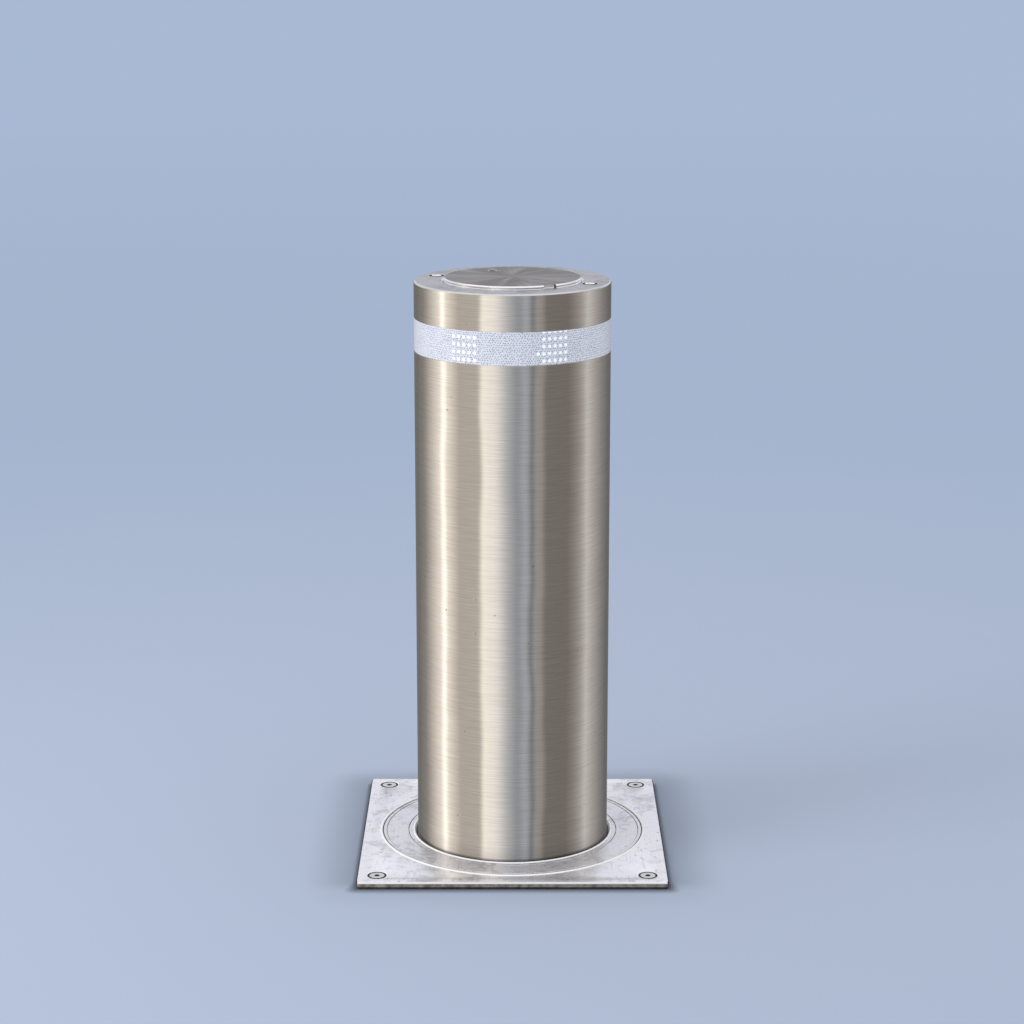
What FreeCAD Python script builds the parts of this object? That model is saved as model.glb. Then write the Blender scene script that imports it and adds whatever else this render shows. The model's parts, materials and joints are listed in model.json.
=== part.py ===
import FreeCAD, Part
import math
import os

# A semi-automatic bollard: a stainless tube that a gas spring lifts out of a pit in the ground.
# The origin is on the tube's axis at ground level, +Z is up and +Y points away from the viewer.
# All sizes are in millimetres.

V = FreeCAD.Vector

# Driving sizes
tube_dia = 273.0
tube_wall = 6.0
rise = 800.0
rim_wide = 41.0
rim_thick = 12.0
head_skirt = 10.0
disc_proud = 4.5
disc_seat_deep = 4.0
head_round = 3.0
band_top_below_head = 51.0
band_high = 45.0
band_recess = 0.6
band_thick = 0.5
plate_margin = 15.0
plate_thick = 10.0
plate_corner = 6.0
plate_round = 3.0
plate_rebate = 1.5
wiper_gap = 3.0
retainer_wide = 10.0
ring_wide = 37.5
ring_thick = 5.0
ring_lap = 18.0
case_margin = 63.5
case_wall = 3.0
sump_deep = 44.0
floor_thick = 5.0
head_plate_low = 14.0
column_dia = 25.0
column_inset = 50.0
column_edge = 22.0
column_stud_long = 24.0
lap_in_guide = 190.0
foot_thick = 12.0
base_thick = 12.0
buffer_high = 67.5
key_inset = 37.5
lock_x = -28.0
shaft_dia = 12.0
bolt_wide = 16.0
bolt_high = 20.0
bolt_throw = 16.0
pin_dia = 8.0
pin_near = 12.0
rod_dia = 22.0
cylinder_dia = 54.0
cylinder_wall = 3.5

# Clearances
flush_gap = 0.6
slide_gap = 0.3
fit_gap = 0.05
loose_gap = 0.5
tap_gap = 0.05
seat_gap = 0.1
beyond = 1.0

# Levels and radii that follow from the driving sizes
tube_r = tube_dia / 2
tube_in = tube_r - tube_wall
head_top = plate_thick + rise
disc_r = tube_r - rim_wide
disc_top = head_top + disc_proud
half_case = tube_r + case_margin
half_plate = half_case + plate_margin
inner_case = half_case - case_wall
opening_r = tube_r + wiper_gap
retainer_r = opening_r + retainer_wide
ring_in = retainer_r + slide_gap
ring_r = ring_in + ring_wide
recess_r = ring_r + flush_gap
plate_hole_r = recess_r - ring_lap
ring_floor = plate_thick - ring_thick
head_plate_under = -head_plate_low
column_r = column_dia / 2
column_at = half_case - column_inset
column_reach = math.hypot(column_at, column_at)
frame_half = column_at + column_edge
tube_bottom = -lap_in_guide
foot_bottom = tube_bottom - foot_thick
base_top = foot_bottom - rise - loose_gap - buffer_high
base_under = base_top - base_thick
column_end = base_under - column_stud_long
case_deep = sump_deep - column_end
band_top = head_top - band_top_below_head
band_bottom = band_top - band_high
lock_y = disc_r - key_inset
corners = [(1, 1), (-1, 1), (-1, -1), (1, -1)]


# Shape helpers

def block(x0, x1, y0, y1, z0, z1):
    return Part.makeBox(x1 - x0, y1 - y0, z1 - z0, V(x0, y0, z0))


def rod(r, z0, z1, x=0.0, y=0.0):
    return Part.makeCylinder(r, z1 - z0, V(x, y, z0))


def cross_rod(r, x0, x1, y, z):
    return Part.makeCylinder(r, x1 - x0, V(x0, y, z), V(1, 0, 0))


def tube(r_in, r_out, z0, z1, x=0.0, y=0.0):
    return rod(r_out, z0, z1, x, y).cut(rod(r_in, z0 - beyond, z1 + beyond, x, y))


def turned(points, x=0.0, y=0.0):
    corners_3d = [V(x + r, y, z) for r, z in points]
    face = Part.Face(Part.makePolygon(corners_3d + [corners_3d[0]]))
    return face.revolve(V(x, y, 0), V(0, 0, 1), 360)


def hexagon(across, z0, z1, x=0.0, y=0.0, turn=0.0):
    r = across / 2 / math.cos(math.radians(30))
    angles = [math.radians(60 * k + turn) for k in range(6)]
    points = [V(x + r * math.cos(a), y + r * math.sin(a), z0) for a in angles]
    face = Part.Face(Part.makePolygon(points + [points[0]]))
    return face.extrude(V(0, 0, z1 - z0))


def rounded_slab(half_x, half_y, corner, z0, z1):
    body = block(-half_x, half_x, -half_y, half_y, z0, z1)
    upright = [e for e in body.Edges if abs(e.tangentAt(e.FirstParameter).z) > 0.9]
    return body.makeFillet(corner, upright)


def joined(first, *others):
    return first.fuse(list(others)).removeSplitter()


def less(shape, *cutters):
    return shape.cut(list(cutters))


def polar(r, degrees):
    a = math.radians(degrees)
    return r * math.cos(a), r * math.sin(a)


def several(shapes):
    return Part.makeCompound(shapes)


def circle_edges(shape, r, z):
    found = []
    for e in shape.Edges:
        box = e.BoundBox
        level = abs(box.ZMin - z) < 0.01 and abs(box.ZMax - z) < 0.01
        if level and abs(box.XMax - r) < 0.01 and abs(box.XMin + r) < 0.01:
            found.append(e)
    return found


# The pit in the ground

drain_up = 50.0
drain_z = drain_up - case_deep
drain_bore_r = 30.0
drain_wall = 3.0
drain_out_r = drain_bore_r + drain_wall


def casing_front():
    return block(-half_case, half_case, -half_case, -inner_case, -case_deep, plate_rebate)


def casing_back():
    return block(-half_case, half_case, inner_case, half_case, -case_deep, plate_rebate)


def casing_right():
    return block(inner_case, half_case, -inner_case, inner_case, -case_deep, plate_rebate)


def casing_left():
    sheet = block(-half_case, -inner_case, -inner_case, inner_case, -case_deep, plate_rebate)
    drain = cross_rod(drain_out_r + slide_gap, -half_case - beyond, -inner_case + beyond, 0, drain_z)
    return less(sheet, drain)


def pit_floor():
    return block(-half_case, half_case, -half_case, half_case, -case_deep - floor_thick, -case_deep)


lug_size = 20.0
lug_deep = 30.0
lug_nib = 4.0
screw_r = 6.0
screw_at = inner_case - lug_size / 2


def corner_lug(sx, sy):
    a = inner_case
    b = a - lug_size
    points = [(b, b), (a, b), (a, a - lug_nib), (a - lug_nib, a), (b, a)]
    spots = [V(sx * x, sy * y, -lug_deep) for x, y in points]
    face = Part.Face(Part.makePolygon(spots + [spots[0]]))
    lug = face.extrude(V(0, 0, lug_deep + plate_rebate))
    bore_r = screw_r + tap_gap
    bore = rod(bore_r, -lug_deep - beyond, plate_rebate + beyond, sx * screw_at, sy * screw_at)
    return less(lug, bore)


def corner_lugs():
    return several([corner_lug(sx, sy) for sx, sy in corners])


anchor_z = -380.0
anchor_wide = 60.0
anchor_high = 70.0
anchor_out = 45.0
anchor_thick = 6.0
anchor_hole_out = 28.0
anchor_hole_r = 9.0


def anchor_lug(degrees):
    near = half_case
    side = anchor_wide / 2
    top = anchor_z + anchor_thick
    upright = block(near, near + anchor_thick, -side, side, anchor_z, anchor_z + anchor_high)
    arm = block(near, near + anchor_out, -side, side, anchor_z, top)
    hole = rod(anchor_hole_r, anchor_z - beyond, top + beyond, near + anchor_hole_out, 0)
    lug = less(joined(upright, arm), hole)
    lug.rotate(V(0, 0, 0), V(0, 0, 1), degrees)
    return lug


def anchor_lugs():
    return several([anchor_lug(90 * k) for k in range(4)])


socket_out = 60.0
socket_in = 3.0
socket_flange = 9.0
socket_flange_thick = 6.0


def drain_socket():
    x_out = -half_case - socket_out
    x_in = -inner_case + socket_in
    x_flange = -half_case - socket_flange_thick
    pipe = cross_rod(drain_out_r, x_out, x_in, 0, drain_z)
    collar = cross_rod(drain_out_r + socket_flange, x_flange, -half_case, 0, drain_z)
    bore = cross_rod(drain_bore_r, x_out - beyond, x_in + beyond, 0, drain_z)
    return less(joined(pipe, collar), bore)


# The plate at ground level and its rings

screw_hole_r = screw_r + loose_gap
recess_bevel = 2.4
recess_fall = 1.2
rebate_gap = 0.4
sink_r = 13.4
sink_deep = sink_r - screw_hole_r


def flange_plate():
    slab = rounded_slab(half_plate, half_plate, plate_corner, 0, plate_thick)
    rim = [e for e in slab.Edges if e.BoundBox.ZMin > plate_thick - 0.01]
    slab = slab.makeFillet(plate_round, rim)
    above = plate_thick + beyond
    recess = turned([
        (0, ring_floor),
        (recess_r, ring_floor),
        (recess_r, plate_thick - recess_fall),
        (recess_r + recess_bevel, plate_thick),
        (recess_r + recess_bevel, above),
        (0, above),
    ])
    opening = rod(plate_hole_r, -beyond, plate_thick)
    half = half_case + rebate_gap
    rebate = block(-half, half, -half, half, -beyond, plate_rebate)
    cuts = [recess, opening, rebate]
    for sx, sy in corners:
        x = sx * screw_at
        y = sy * screw_at
        cuts.append(rod(screw_hole_r, -beyond, above, x, y))
        sink = turned([
            (0, plate_thick - sink_deep),
            (screw_hole_r, plate_thick - sink_deep),
            (sink_r, plate_thick),
            (sink_r, above),
            (0, above),
        ], x, y)
        cuts.append(sink)
    return less(slab, *cuts)


screw_head_r = 11.6
screw_head_down = 0.4
screw_short = 4.0
screw_point = 1.0
hex_key = 8.0
hex_deep = 5.0
hex_turn = 15.0


def plate_screw(sx, sy):
    x = sx * screw_at
    y = sy * screw_at
    top = plate_thick - screw_head_down
    edge = plate_thick - (sink_r - screw_head_r) + seat_gap
    neck = edge - (screw_head_r - screw_r)
    tip = -lug_deep + screw_short
    body = turned([
        (0, tip),
        (screw_r - screw_point, tip),
        (screw_r, tip + screw_point),
        (screw_r, neck),
        (screw_head_r, edge),
        (screw_head_r, top),
        (0, top),
    ], x, y)
    socket = hexagon(hex_key, top - hex_deep, top + beyond, x, y, hex_turn)
    return less(body, socket)


groove_inset = 5.8
groove_deep = 0.5
ring_edge = 0.6
ring_inner_edge = 0.3


def cover_ring():
    groove_r = ring_r - groove_inset
    return turned([
        (ring_in, ring_floor),
        (ring_r, ring_floor),
        (ring_r, plate_thick - ring_edge),
        (ring_r - ring_edge, plate_thick),
        (groove_r + groove_deep, plate_thick),
        (groove_r, plate_thick - groove_deep),
        (groove_r - groove_deep, plate_thick),
        (ring_in + ring_inner_edge, plate_thick),
        (ring_in, plate_thick - ring_inner_edge),
    ])


stud_r = 4.0
stud_long = 29.0
stud_nut = 13.0
stud_nut_high = 6.5
stud_out = 13.5
stud_circle_r = retainer_r + stud_out
stud_angles = [60 * k for k in range(6)]


def ring_stud(degrees):
    x, y = polar(stud_circle_r, degrees)
    bolt = rod(stud_r, ring_floor - stud_long, ring_floor, x, y)
    nut = hexagon(stud_nut, head_plate_under - stud_nut_high, head_plate_under, x, y, degrees)
    return joined(bolt, nut)


def ring_studs():
    return several([ring_stud(a) for a in stud_angles])


seal_wide = 8.4
seal_r = tube_r + slide_gap + seal_wide
shoulder_z = -2.0
seal_under = -12.0
seal_lip_z = 6.0
seal_lip_thick = 1.0
retainer_edge = 0.4
retainer_bevel_wide = 3.2
retainer_bevel_fall = 1.8


def wiper_retainer():
    return turned([
        (opening_r, shoulder_z),
        (retainer_r, shoulder_z),
        (retainer_r, plate_thick - retainer_edge),
        (retainer_r - retainer_edge, plate_thick),
        (opening_r + retainer_bevel_wide, plate_thick),
        (opening_r, plate_thick - retainer_bevel_fall),
    ])


def wiper_seal():
    lip = tube_r + slide_gap
    return turned([
        (lip, seal_under),
        (seal_r, seal_under),
        (seal_r, shoulder_z),
        (opening_r - slide_gap, shoulder_z),
        (lip + seal_lip_thick, seal_lip_z),
        (lip, seal_lip_z),
    ])


guide_wall = 11.4
guide_high = 46.0
ledge_gap = 3.5
collar_wall = 5.7
collar_floor = 4.0
guide_r = tube_r + slide_gap + guide_wall
guide_bottom = head_plate_under - guide_high
collar_r = guide_r + seat_gap + collar_wall


def upper_guide_ring():
    return tube(tube_r + slide_gap, guide_r, guide_bottom, head_plate_under)


column_neck_r = 8.0
column_top = -4.0


def chassis_head():
    half = frame_half
    collar_low = guide_bottom - collar_floor
    slab = block(-half, half, -half, half, head_plate_under, plate_rebate)
    neck = rod(plate_hole_r - slide_gap, plate_rebate, ring_floor)
    collar = rod(collar_r, collar_low, head_plate_under)
    cuts = [
        rod(retainer_r + slide_gap, shoulder_z, ring_floor + beyond),
        rod(seal_r + seat_gap, seal_under, shoulder_z),
        rod(tube_r + ledge_gap, collar_low - beyond, seal_under),
        rod(guide_r + seat_gap, guide_bottom, head_plate_under),
    ]
    for a in stud_angles:
        x, y = polar(stud_circle_r, a)
        cuts.append(rod(stud_r + slide_gap, head_plate_under - beyond, ring_floor + beyond, x, y))
    for sx, sy in corners:
        x = sx * column_at
        y = sy * column_at
        cuts.append(rod(column_neck_r + tap_gap, head_plate_under - beyond, column_top + beyond, x, y))
    return less(joined(slab, neck, collar), *cuts)


# The fixed guide frame that hangs under the plate

column_foot_r = 9.0
column_point = 1.0


def guide_column(sx, sy):
    x = sx * column_at
    y = sy * column_at
    return turned([
        (0, column_end),
        (column_foot_r - column_point, column_end),
        (column_foot_r, column_end + column_point),
        (column_foot_r, base_top),
        (column_r, base_top),
        (column_r, head_plate_under),
        (column_neck_r, head_plate_under),
        (column_neck_r, column_top),
        (0, column_top),
    ], x, y)


nut_across = 27.0
nut_high = 13.0
washer_r = 17.0
washer_thick = 3.0


def column_nuts():
    washer_under = base_under - washer_thick
    nut_under = washer_under - nut_high
    nuts = []
    for sx, sy in corners:
        x = sx * column_at
        y = sy * column_at
        nut = hexagon(nut_across, nut_under, washer_under, x, y)
        washer = rod(washer_r, washer_under, base_under, x, y)
        bore = rod(column_foot_r + tap_gap, nut_under - beyond, base_under + beyond, x, y)
        nuts.append(less(joined(nut, washer), bore))
    return several(nuts)


stop_high = 17.0
sleeve_wall = 6.2
pad_wall = 9.2


def around_columns(wall, z0, z1):
    near = column_r + slide_gap
    return several([tube(near, near + wall, z0, z1, sx * column_at, sy * column_at) for sx, sy in corners])


def stop_sleeves():
    return around_columns(sleeve_wall, tube_bottom + loose_gap + stop_high, head_plate_under)


def stop_buffers():
    low = tube_bottom + loose_gap
    return around_columns(pad_wall, low, low + stop_high)


base_hole_r = 24.0
base_hole_edge = 30.0
base_hole_circle_r = frame_half - base_hole_r - base_hole_edge


def chassis_base():
    half = frame_half
    slab = block(-half, half, -half, half, base_under, base_top)
    cuts = []
    for sx, sy in corners:
        x = sx * column_at
        y = sy * column_at
        cuts.append(rod(column_foot_r + tap_gap, base_under - beyond, base_top + beyond, x, y))
    for k in range(4):
        x, y = polar(base_hole_circle_r, 90 * k)
        cuts.append(rod(base_hole_r, base_under - beyond, base_top + beyond, x, y))
    return less(slab, *cuts)


bar_gap = 19.5
bar_near = tube_r + bar_gap
bar_thick = 8.0
bar_wide = 40.0
window_gap = 1.5
window_play = 2.5
bolt_rest = 0.4
bolt_low = tube_bottom + bolt_rest
bolt_top = bolt_low + bolt_high
window_side = bolt_wide / 2 + window_gap


def strike_bar():
    half = bar_wide / 2
    far = bar_near + bar_thick
    bar = block(lock_x - half, lock_x + half, bar_near, far, base_top, head_plate_under)
    cuts = []
    for drop in (0, rise):
        low = bolt_low - drop - window_play
        high = bolt_top - drop + window_play
        cuts.append(block(lock_x - window_side, lock_x + window_side, bar_near - beyond, far + beyond, low, high))
    return less(bar, *cuts)


buffer_r = 25.0
buffer_sole = 8.0
buffer_taper = 3.0
buffer_bevel = 6.0
buffer_at = 78.0


def base_buffer(x, y):
    top = base_top + buffer_high
    return turned([
        (0, base_top),
        (buffer_r, base_top),
        (buffer_r, base_top + buffer_sole),
        (buffer_r - buffer_taper, top - buffer_bevel),
        (buffer_r - buffer_taper - buffer_bevel, top),
        (0, top),
    ], x, y)


def base_buffers():
    return several([base_buffer(sx * buffer_at, sy * buffer_at) for sx, sy in corners])


# The gas spring's forks and pins, of the same kind at both ends

pin_r = 8.0
pin_head = 3.0
pin_head_thick = 4.3
pin_clip = 2.0
pin_clip_thick = 1.2
pin_stub = 3.0
fork_in = 13.0
fork_out = 21.0
fork_play = 0.2
eye_half = 12.0
sole_corner = 5.0


def fork(sole, ear_r, ear_low, ear_high, eye):
    shape = sole
    for x0, x1 in ((-fork_out, -fork_in), (fork_in, fork_out)):
        ear = block(x0, x1, -ear_r, ear_r, ear_low, ear_high)
        cap = cross_rod(ear_r, x0, x1, 0, eye)
        shape = joined(shape, ear, cap)
    hole = cross_rod(pin_r + tap_gap, -fork_out - beyond, fork_out + beyond, 0, eye)
    return less(shape, hole)


def fork_pin(eye):
    near = fork_out + fork_play
    body = cross_rod(pin_r, -fork_out - pin_stub, near, 0, eye)
    head = cross_rod(pin_r + pin_head, near, near + pin_head_thick, 0, eye)
    clip = cross_rod(pin_r + pin_clip, -near - pin_clip_thick, -near, 0, eye)
    return joined(body, head, clip)


eye_up = 25.0
eye_z = base_top + eye_up
foot_sole_x = 30.0
foot_sole_y = 28.0
foot_sole_thick = 8.0
foot_ear_r = 18.0


def spring_foot_bracket():
    sole_top = base_top + foot_sole_thick
    sole = rounded_slab(foot_sole_x, foot_sole_y, sole_corner, base_top, sole_top)
    return fork(sole, foot_ear_r, sole_top, eye_z, eye_z)


def spring_foot_pin():
    return fork_pin(eye_z)


cylinder_r = cylinder_dia / 2
cylinder_bore_r = cylinder_r - cylinder_wall
rod_r = rod_dia / 2
rod_eye_r = 16.0
rod_in_eye = 10.0
rod_lap = 50.0
rod_top = tube_bottom + rod_lap
piston_high = 16.0


def gas_spring_rod():
    eye = cross_rod(rod_eye_r, -eye_half, eye_half, 0, eye_z)
    stem = rod(rod_r, eye_z + rod_in_eye, rod_top)
    piston = rod(cylinder_bore_r - slide_gap, rod_top - piston_high, rod_top)
    hole = cross_rod(pin_r + tap_gap, -eye_half - beyond, eye_half + beyond, 0, eye_z)
    return less(joined(eye, stem, piston), hole)


# The moving tube

band_play = 0.5
window_above = 2.0
window_reach = 30.0


def bollard_tube():
    low = tube_bottom
    high = head_top - rim_thick
    seat_low = band_bottom - band_play
    seat_high = band_top + band_play
    wall = turned([
        (tube_in, low),
        (tube_r, low),
        (tube_r, seat_low),
        (tube_r - band_recess, seat_low),
        (tube_r - band_recess, seat_high),
        (tube_r, seat_high),
        (tube_r, high),
        (tube_in, high),
    ])
    near = tube_in - window_reach
    far = tube_r + beyond
    x0 = lock_x - window_side
    x1 = lock_x + window_side
    window = block(x0, x1, near, far, low - beyond, bolt_top + window_above)
    return less(wall, window)


plug_inset = 17.0
plug_circle_r = disc_r + plug_inset
plug_angles = [160.0, -20.0]
plug_r = 8.6
plug_thread_r = 6.0
pocket_gap = 1.5
pocket_deep = 5.0
disc_lap = 12.8
disc_plug_r = disc_r - disc_lap
mouth_gap = 0.8
mouth_r = disc_plug_r + mouth_gap
seat_z = head_top - disc_seat_deep
lip_bevel_wide = 2.0
lip_bevel_fall = 1.2


def head_ring():
    step = head_top - rim_thick
    under = step - head_skirt
    lip_r = disc_r + flush_gap
    ring = turned([
        (mouth_r, under),
        (tube_in - seat_gap, under),
        (tube_in - seat_gap, step),
        (tube_r, step),
        (tube_r, head_top),
        (lip_r + lip_bevel_wide, head_top),
        (lip_r, head_top - lip_bevel_fall),
        (lip_r, seat_z),
        (mouth_r, seat_z),
    ])
    ring = ring.makeFillet(head_round, circle_edges(ring, tube_r, head_top))
    cuts = []
    for a in plug_angles:
        x, y = polar(plug_circle_r, a)
        cuts.append(rod(plug_thread_r + tap_gap, under - beyond, head_top + beyond, x, y))
        cuts.append(rod(plug_r + pocket_gap, head_top - pocket_deep, head_top + beyond, x, y))
    return less(ring, *cuts)


plug_proud = 0.8
plug_long = 20.0
plug_point = 1.0
plug_dome_wide = 1.6
plug_dome_high = 1.0
plug_hex_deep = 4.5


def lifting_plug(degrees):
    x, y = polar(plug_circle_r, degrees)
    top = head_top + plug_proud
    tip = head_top - plug_long
    shoulder = head_top - pocket_deep
    body = turned([
        (0, tip),
        (plug_thread_r - plug_point, tip),
        (plug_thread_r, tip + plug_point),
        (plug_thread_r, shoulder),
        (plug_r, shoulder),
        (plug_r, top - plug_dome_high),
        (plug_r - plug_dome_wide, top),
        (0, top),
    ], x, y)
    socket = hexagon(hex_key, top - plug_hex_deep, top + beyond, x, y, degrees)
    return less(body, socket)


cover_under = head_top - 10.0
seal_groove_low = head_top - 8.5
seal_groove_high = head_top - 5.5
seal_groove_deep = 2.0
seal_proud = 0.5
disc_edge = 2.5
pry_angle = -55.0
pry_half = 8.0
pry_in = 5.0
pry_above_seat = 2.5
neck_r = 7.0
key_hole_r = neck_r + loose_gap


def head_cover():
    groove_r = disc_plug_r - seal_groove_deep
    disc_under = seat_z + slide_gap
    disc = turned([
        (0, cover_under),
        (disc_plug_r, cover_under),
        (disc_plug_r, seal_groove_low),
        (groove_r, seal_groove_low),
        (groove_r, seal_groove_high),
        (disc_plug_r, seal_groove_high),
        (disc_plug_r, disc_under),
        (disc_r, disc_under),
        (disc_r, disc_top - disc_edge),
        (disc_r - disc_edge, disc_top),
        (0, disc_top),
    ])
    above = disc_top + beyond
    notch = block(disc_r - pry_in, disc_r + pry_in, -pry_half, pry_half, seat_z + pry_above_seat, above)
    notch.rotate(V(0, 0, 0), V(0, 0, 1), pry_angle)
    key_hole = rod(key_hole_r, cover_under - beyond, above, lock_x, lock_y)
    return less(disc, notch, key_hole)


def cover_seal():
    return tube(disc_plug_r - seal_groove_deep, disc_plug_r + seal_proud, seal_groove_low, seal_groove_high)


shaft_r = shaft_dia / 2
rotor_wall = 5.0
rotor_r = shaft_r + rotor_wall
barrel_wall = 5.0
barrel_r = rotor_r + barrel_wall
bridge_down = 50.0
bridge_top = head_top - bridge_down
bridge_thick = 12.0
bridge_under = bridge_top - bridge_thick
bridge_hole_r = 26.0
bridge_hole_inset = 42.5
bridge_hole_places = (0, 1, 3, 4, 5)


def head_bridge():
    low = bridge_under - beyond
    high = bridge_top + beyond
    disc = rod(tube_in - seat_gap, bridge_under, bridge_top)
    cuts = [rod(barrel_r + seat_gap, low, high, lock_x, lock_y)]
    for k in bridge_hole_places:
        x, y = polar(tube_in - bridge_hole_inset, 60 * k)
        cuts.append(rod(bridge_hole_r, low, high, x, y))
    return less(disc, *cuts)


barrel_top = cover_under - loose_gap
barrel_lid = 2.5
barrel_floor_z = bridge_top - 2.0
barrel_below = 8.0
barrel_flange = 7.0
barrel_flange_thick = 4.0
rotor_shoulder = barrel_top - barrel_lid - 1.0


def lock_barrel():
    low = bridge_under - barrel_below
    bore_r = rotor_r + fit_gap
    lid_under = barrel_top - barrel_lid
    flange_top = bridge_top + barrel_flange_thick
    return turned([
        (bore_r, barrel_floor_z),
        (bore_r, lid_under),
        (neck_r + loose_gap, lid_under),
        (neck_r + loose_gap, barrel_top),
        (barrel_r, barrel_top),
        (barrel_r, flange_top),
        (barrel_r + barrel_flange, flange_top),
        (barrel_r + barrel_flange, bridge_top),
        (barrel_r, bridge_top),
        (barrel_r, low),
        (shaft_r + fit_gap, low),
        (shaft_r + fit_gap, barrel_floor_z),
    ], lock_x, lock_y)


top_eye_down = 28.0
top_eye_z = bridge_under - top_eye_down
head_sole_half = 24.0
head_sole_thick = 6.0
head_ear_r = 16.0


def spring_head_bracket():
    sole_under = bridge_under - head_sole_thick
    sole = rounded_slab(head_sole_half, head_sole_half, sole_corner, sole_under, bridge_under)
    return fork(sole, head_ear_r, top_eye_z, sole_under, top_eye_z)


def spring_head_pin():
    return fork_pin(top_eye_z)


cylinder_up = 15.0
cylinder_low = tube_bottom + cylinder_up
cylinder_high = top_eye_z - 24.0
cylinder_end = 12.0
cylinder_round = 6.0
cylinder_eye_r = 14.0
cylinder_stem_r = 9.0


def gas_spring_body():
    eye = cross_rod(cylinder_eye_r, -eye_half, eye_half, 0, top_eye_z)
    stem = rod(cylinder_stem_r, cylinder_high - beyond, top_eye_z - rod_in_eye)
    shell = rod(cylinder_r, cylinder_low, cylinder_high)
    shell = shell.makeFillet(cylinder_round, circle_edges(shell, cylinder_r, cylinder_high))
    hollow = rod(cylinder_bore_r, cylinder_low - beyond, cylinder_high - cylinder_end)
    hole = cross_rod(pin_r + tap_gap, -eye_half - beyond, eye_half + beyond, 0, top_eye_z)
    return less(joined(eye, stem, shell), hollow, hole)


gland_below = 6.0
gland_above = 14.0
gland_bevel = 1.5


def gas_spring_gland():
    low = cylinder_low - gland_below
    high = cylinder_low + gland_above
    bore_r = rod_r + fit_gap
    return turned([
        (bore_r, low),
        (cylinder_r - gland_bevel, low),
        (cylinder_r, low + gland_bevel),
        (cylinder_r, cylinder_low),
        (cylinder_bore_r, cylinder_low),
        (cylinder_bore_r, high),
        (bore_r, high),
    ])


bush_flange = 4.0
bush_below = 22.0
bush_wall = 5.5
bush_step = 3.0
bush_out_r = column_r + bush_wall
bush_in_plate_r = bush_out_r - bush_step
ear_wall = 9.0
ear_r = bush_out_r + ear_wall
foot_lip = 10.5
foot_hole_r = 28.0
foot_hole_inset = 38.5
foot_centre_gap = 3.0
web_lap = 70.0


def foot_plate():
    low = foot_bottom - beyond
    high = tube_bottom + beyond
    shape = rod(tube_r + foot_lip, foot_bottom, tube_bottom)
    cuts = [rod(cylinder_r + foot_centre_gap, low, high)]
    for sx, sy in corners:
        x = sx * column_at
        y = sy * column_at
        ear = rod(ear_r, foot_bottom, tube_bottom, x, y)
        web = block(tube_in - web_lap, column_reach, -ear_r, ear_r, foot_bottom, tube_bottom)
        web.rotate(V(0, 0, 0), V(0, 0, 1), math.degrees(math.atan2(sy, sx)))
        shape = joined(shape, ear, web)
        cuts.append(rod(bush_in_plate_r + seat_gap, low, high, x, y))
    for a in (0, 180, 270):
        x, y = polar(tube_in - foot_hole_inset, a)
        cuts.append(rod(foot_hole_r, low, high, x, y))
    return less(shape, *cuts)


def foot_bush(sx, sy):
    x = sx * column_at
    y = sy * column_at
    low = foot_bottom - bush_flange - bush_below
    bore = column_r + fit_gap
    return turned([
        (bore, low),
        (bush_out_r, low),
        (bush_out_r, foot_bottom),
        (bush_in_plate_r, foot_bottom),
        (bush_in_plate_r, tube_bottom),
        (bore, tube_bottom),
    ], x, y)


# The key lock: a turned shaft, a snail cam and a sliding bolt

cam_gap = 3.6
cam_low = bolt_top + cam_gap
cam_thick = 8.0
cam_high = cam_low + cam_thick
cam_headroom = 6.0
bridge_low = cam_high + cam_headroom
cheek_top = bolt_top + 0.4
cheek_thick = 8.0
cheek_in = bolt_wide / 2 + slide_gap
cheek_out = cheek_in + cheek_thick
cheek_behind = 2.0
wall_gap = 1.2
cam_room = 15.0
strip_near = lock_y + pin_near + bolt_throw + cam_room
strip_far = math.sqrt((tube_in - wall_gap) ** 2 - (abs(lock_x) + cheek_out) ** 2)


def bolt_housing():
    near = lock_y - cheek_behind
    left_x = lock_x - cheek_out
    right_x = lock_x + cheek_out
    left = block(left_x, lock_x - cheek_in, near, strip_far, tube_bottom, cheek_top)
    right = block(lock_x + cheek_in, right_x, near, strip_far, tube_bottom, cheek_top)
    strip = block(left_x, right_x, strip_near, strip_far, cheek_top, bridge_low)
    return joined(left, right, strip)


bridge_plate_thick = 8.0
bridge_plate_half = 15.0
bridge_leg_back = 28.0
bridge_leg_right = 9.0


def cam_bridge():
    high = bridge_low + bridge_plate_thick
    near = lock_y - bridge_leg_back
    x0 = lock_x - bridge_plate_half
    x1 = lock_x + bridge_plate_half
    plate = block(x0, x1, near, strip_far - cheek_behind, bridge_low, high)
    leg_right = lock_x + bridge_leg_right
    leg = block(x0, leg_right, near, near + bridge_plate_thick, tube_bottom, bridge_low)
    bore = rod(shaft_r + fit_gap, bridge_low - beyond, high + beyond, lock_x, lock_y)
    return less(joined(plate, leg), bore)


def reflective_band():
    r_in = tube_r - band_recess
    return tube(r_in, r_in + band_thick, band_bottom, band_top)


rotor_down = 0.6
rotor_top = disc_top - rotor_down
rotor_low = barrel_floor_z + slide_gap
rotor_edge = 0.5
key_square = 8.0
key_socket_deep = 20.0
shaft_in_rotor = 12.0


def key_rotor():
    body = turned([
        (0, rotor_low),
        (rotor_r, rotor_low),
        (rotor_r, rotor_shoulder),
        (neck_r, rotor_shoulder),
        (neck_r, rotor_top - rotor_edge),
        (neck_r - rotor_edge, rotor_top),
        (0, rotor_top),
    ], lock_x, lock_y)
    half = key_square / 2
    low = rotor_top - key_socket_deep
    high = rotor_top + beyond
    socket = block(lock_x - half, lock_x + half, lock_y - half, lock_y + half, low, high)
    seat = rod(shaft_r, barrel_floor_z, bridge_top + shaft_in_rotor, lock_x, lock_y)
    return less(body, socket, seat)


shaft_above_bolt = 1.2


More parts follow.
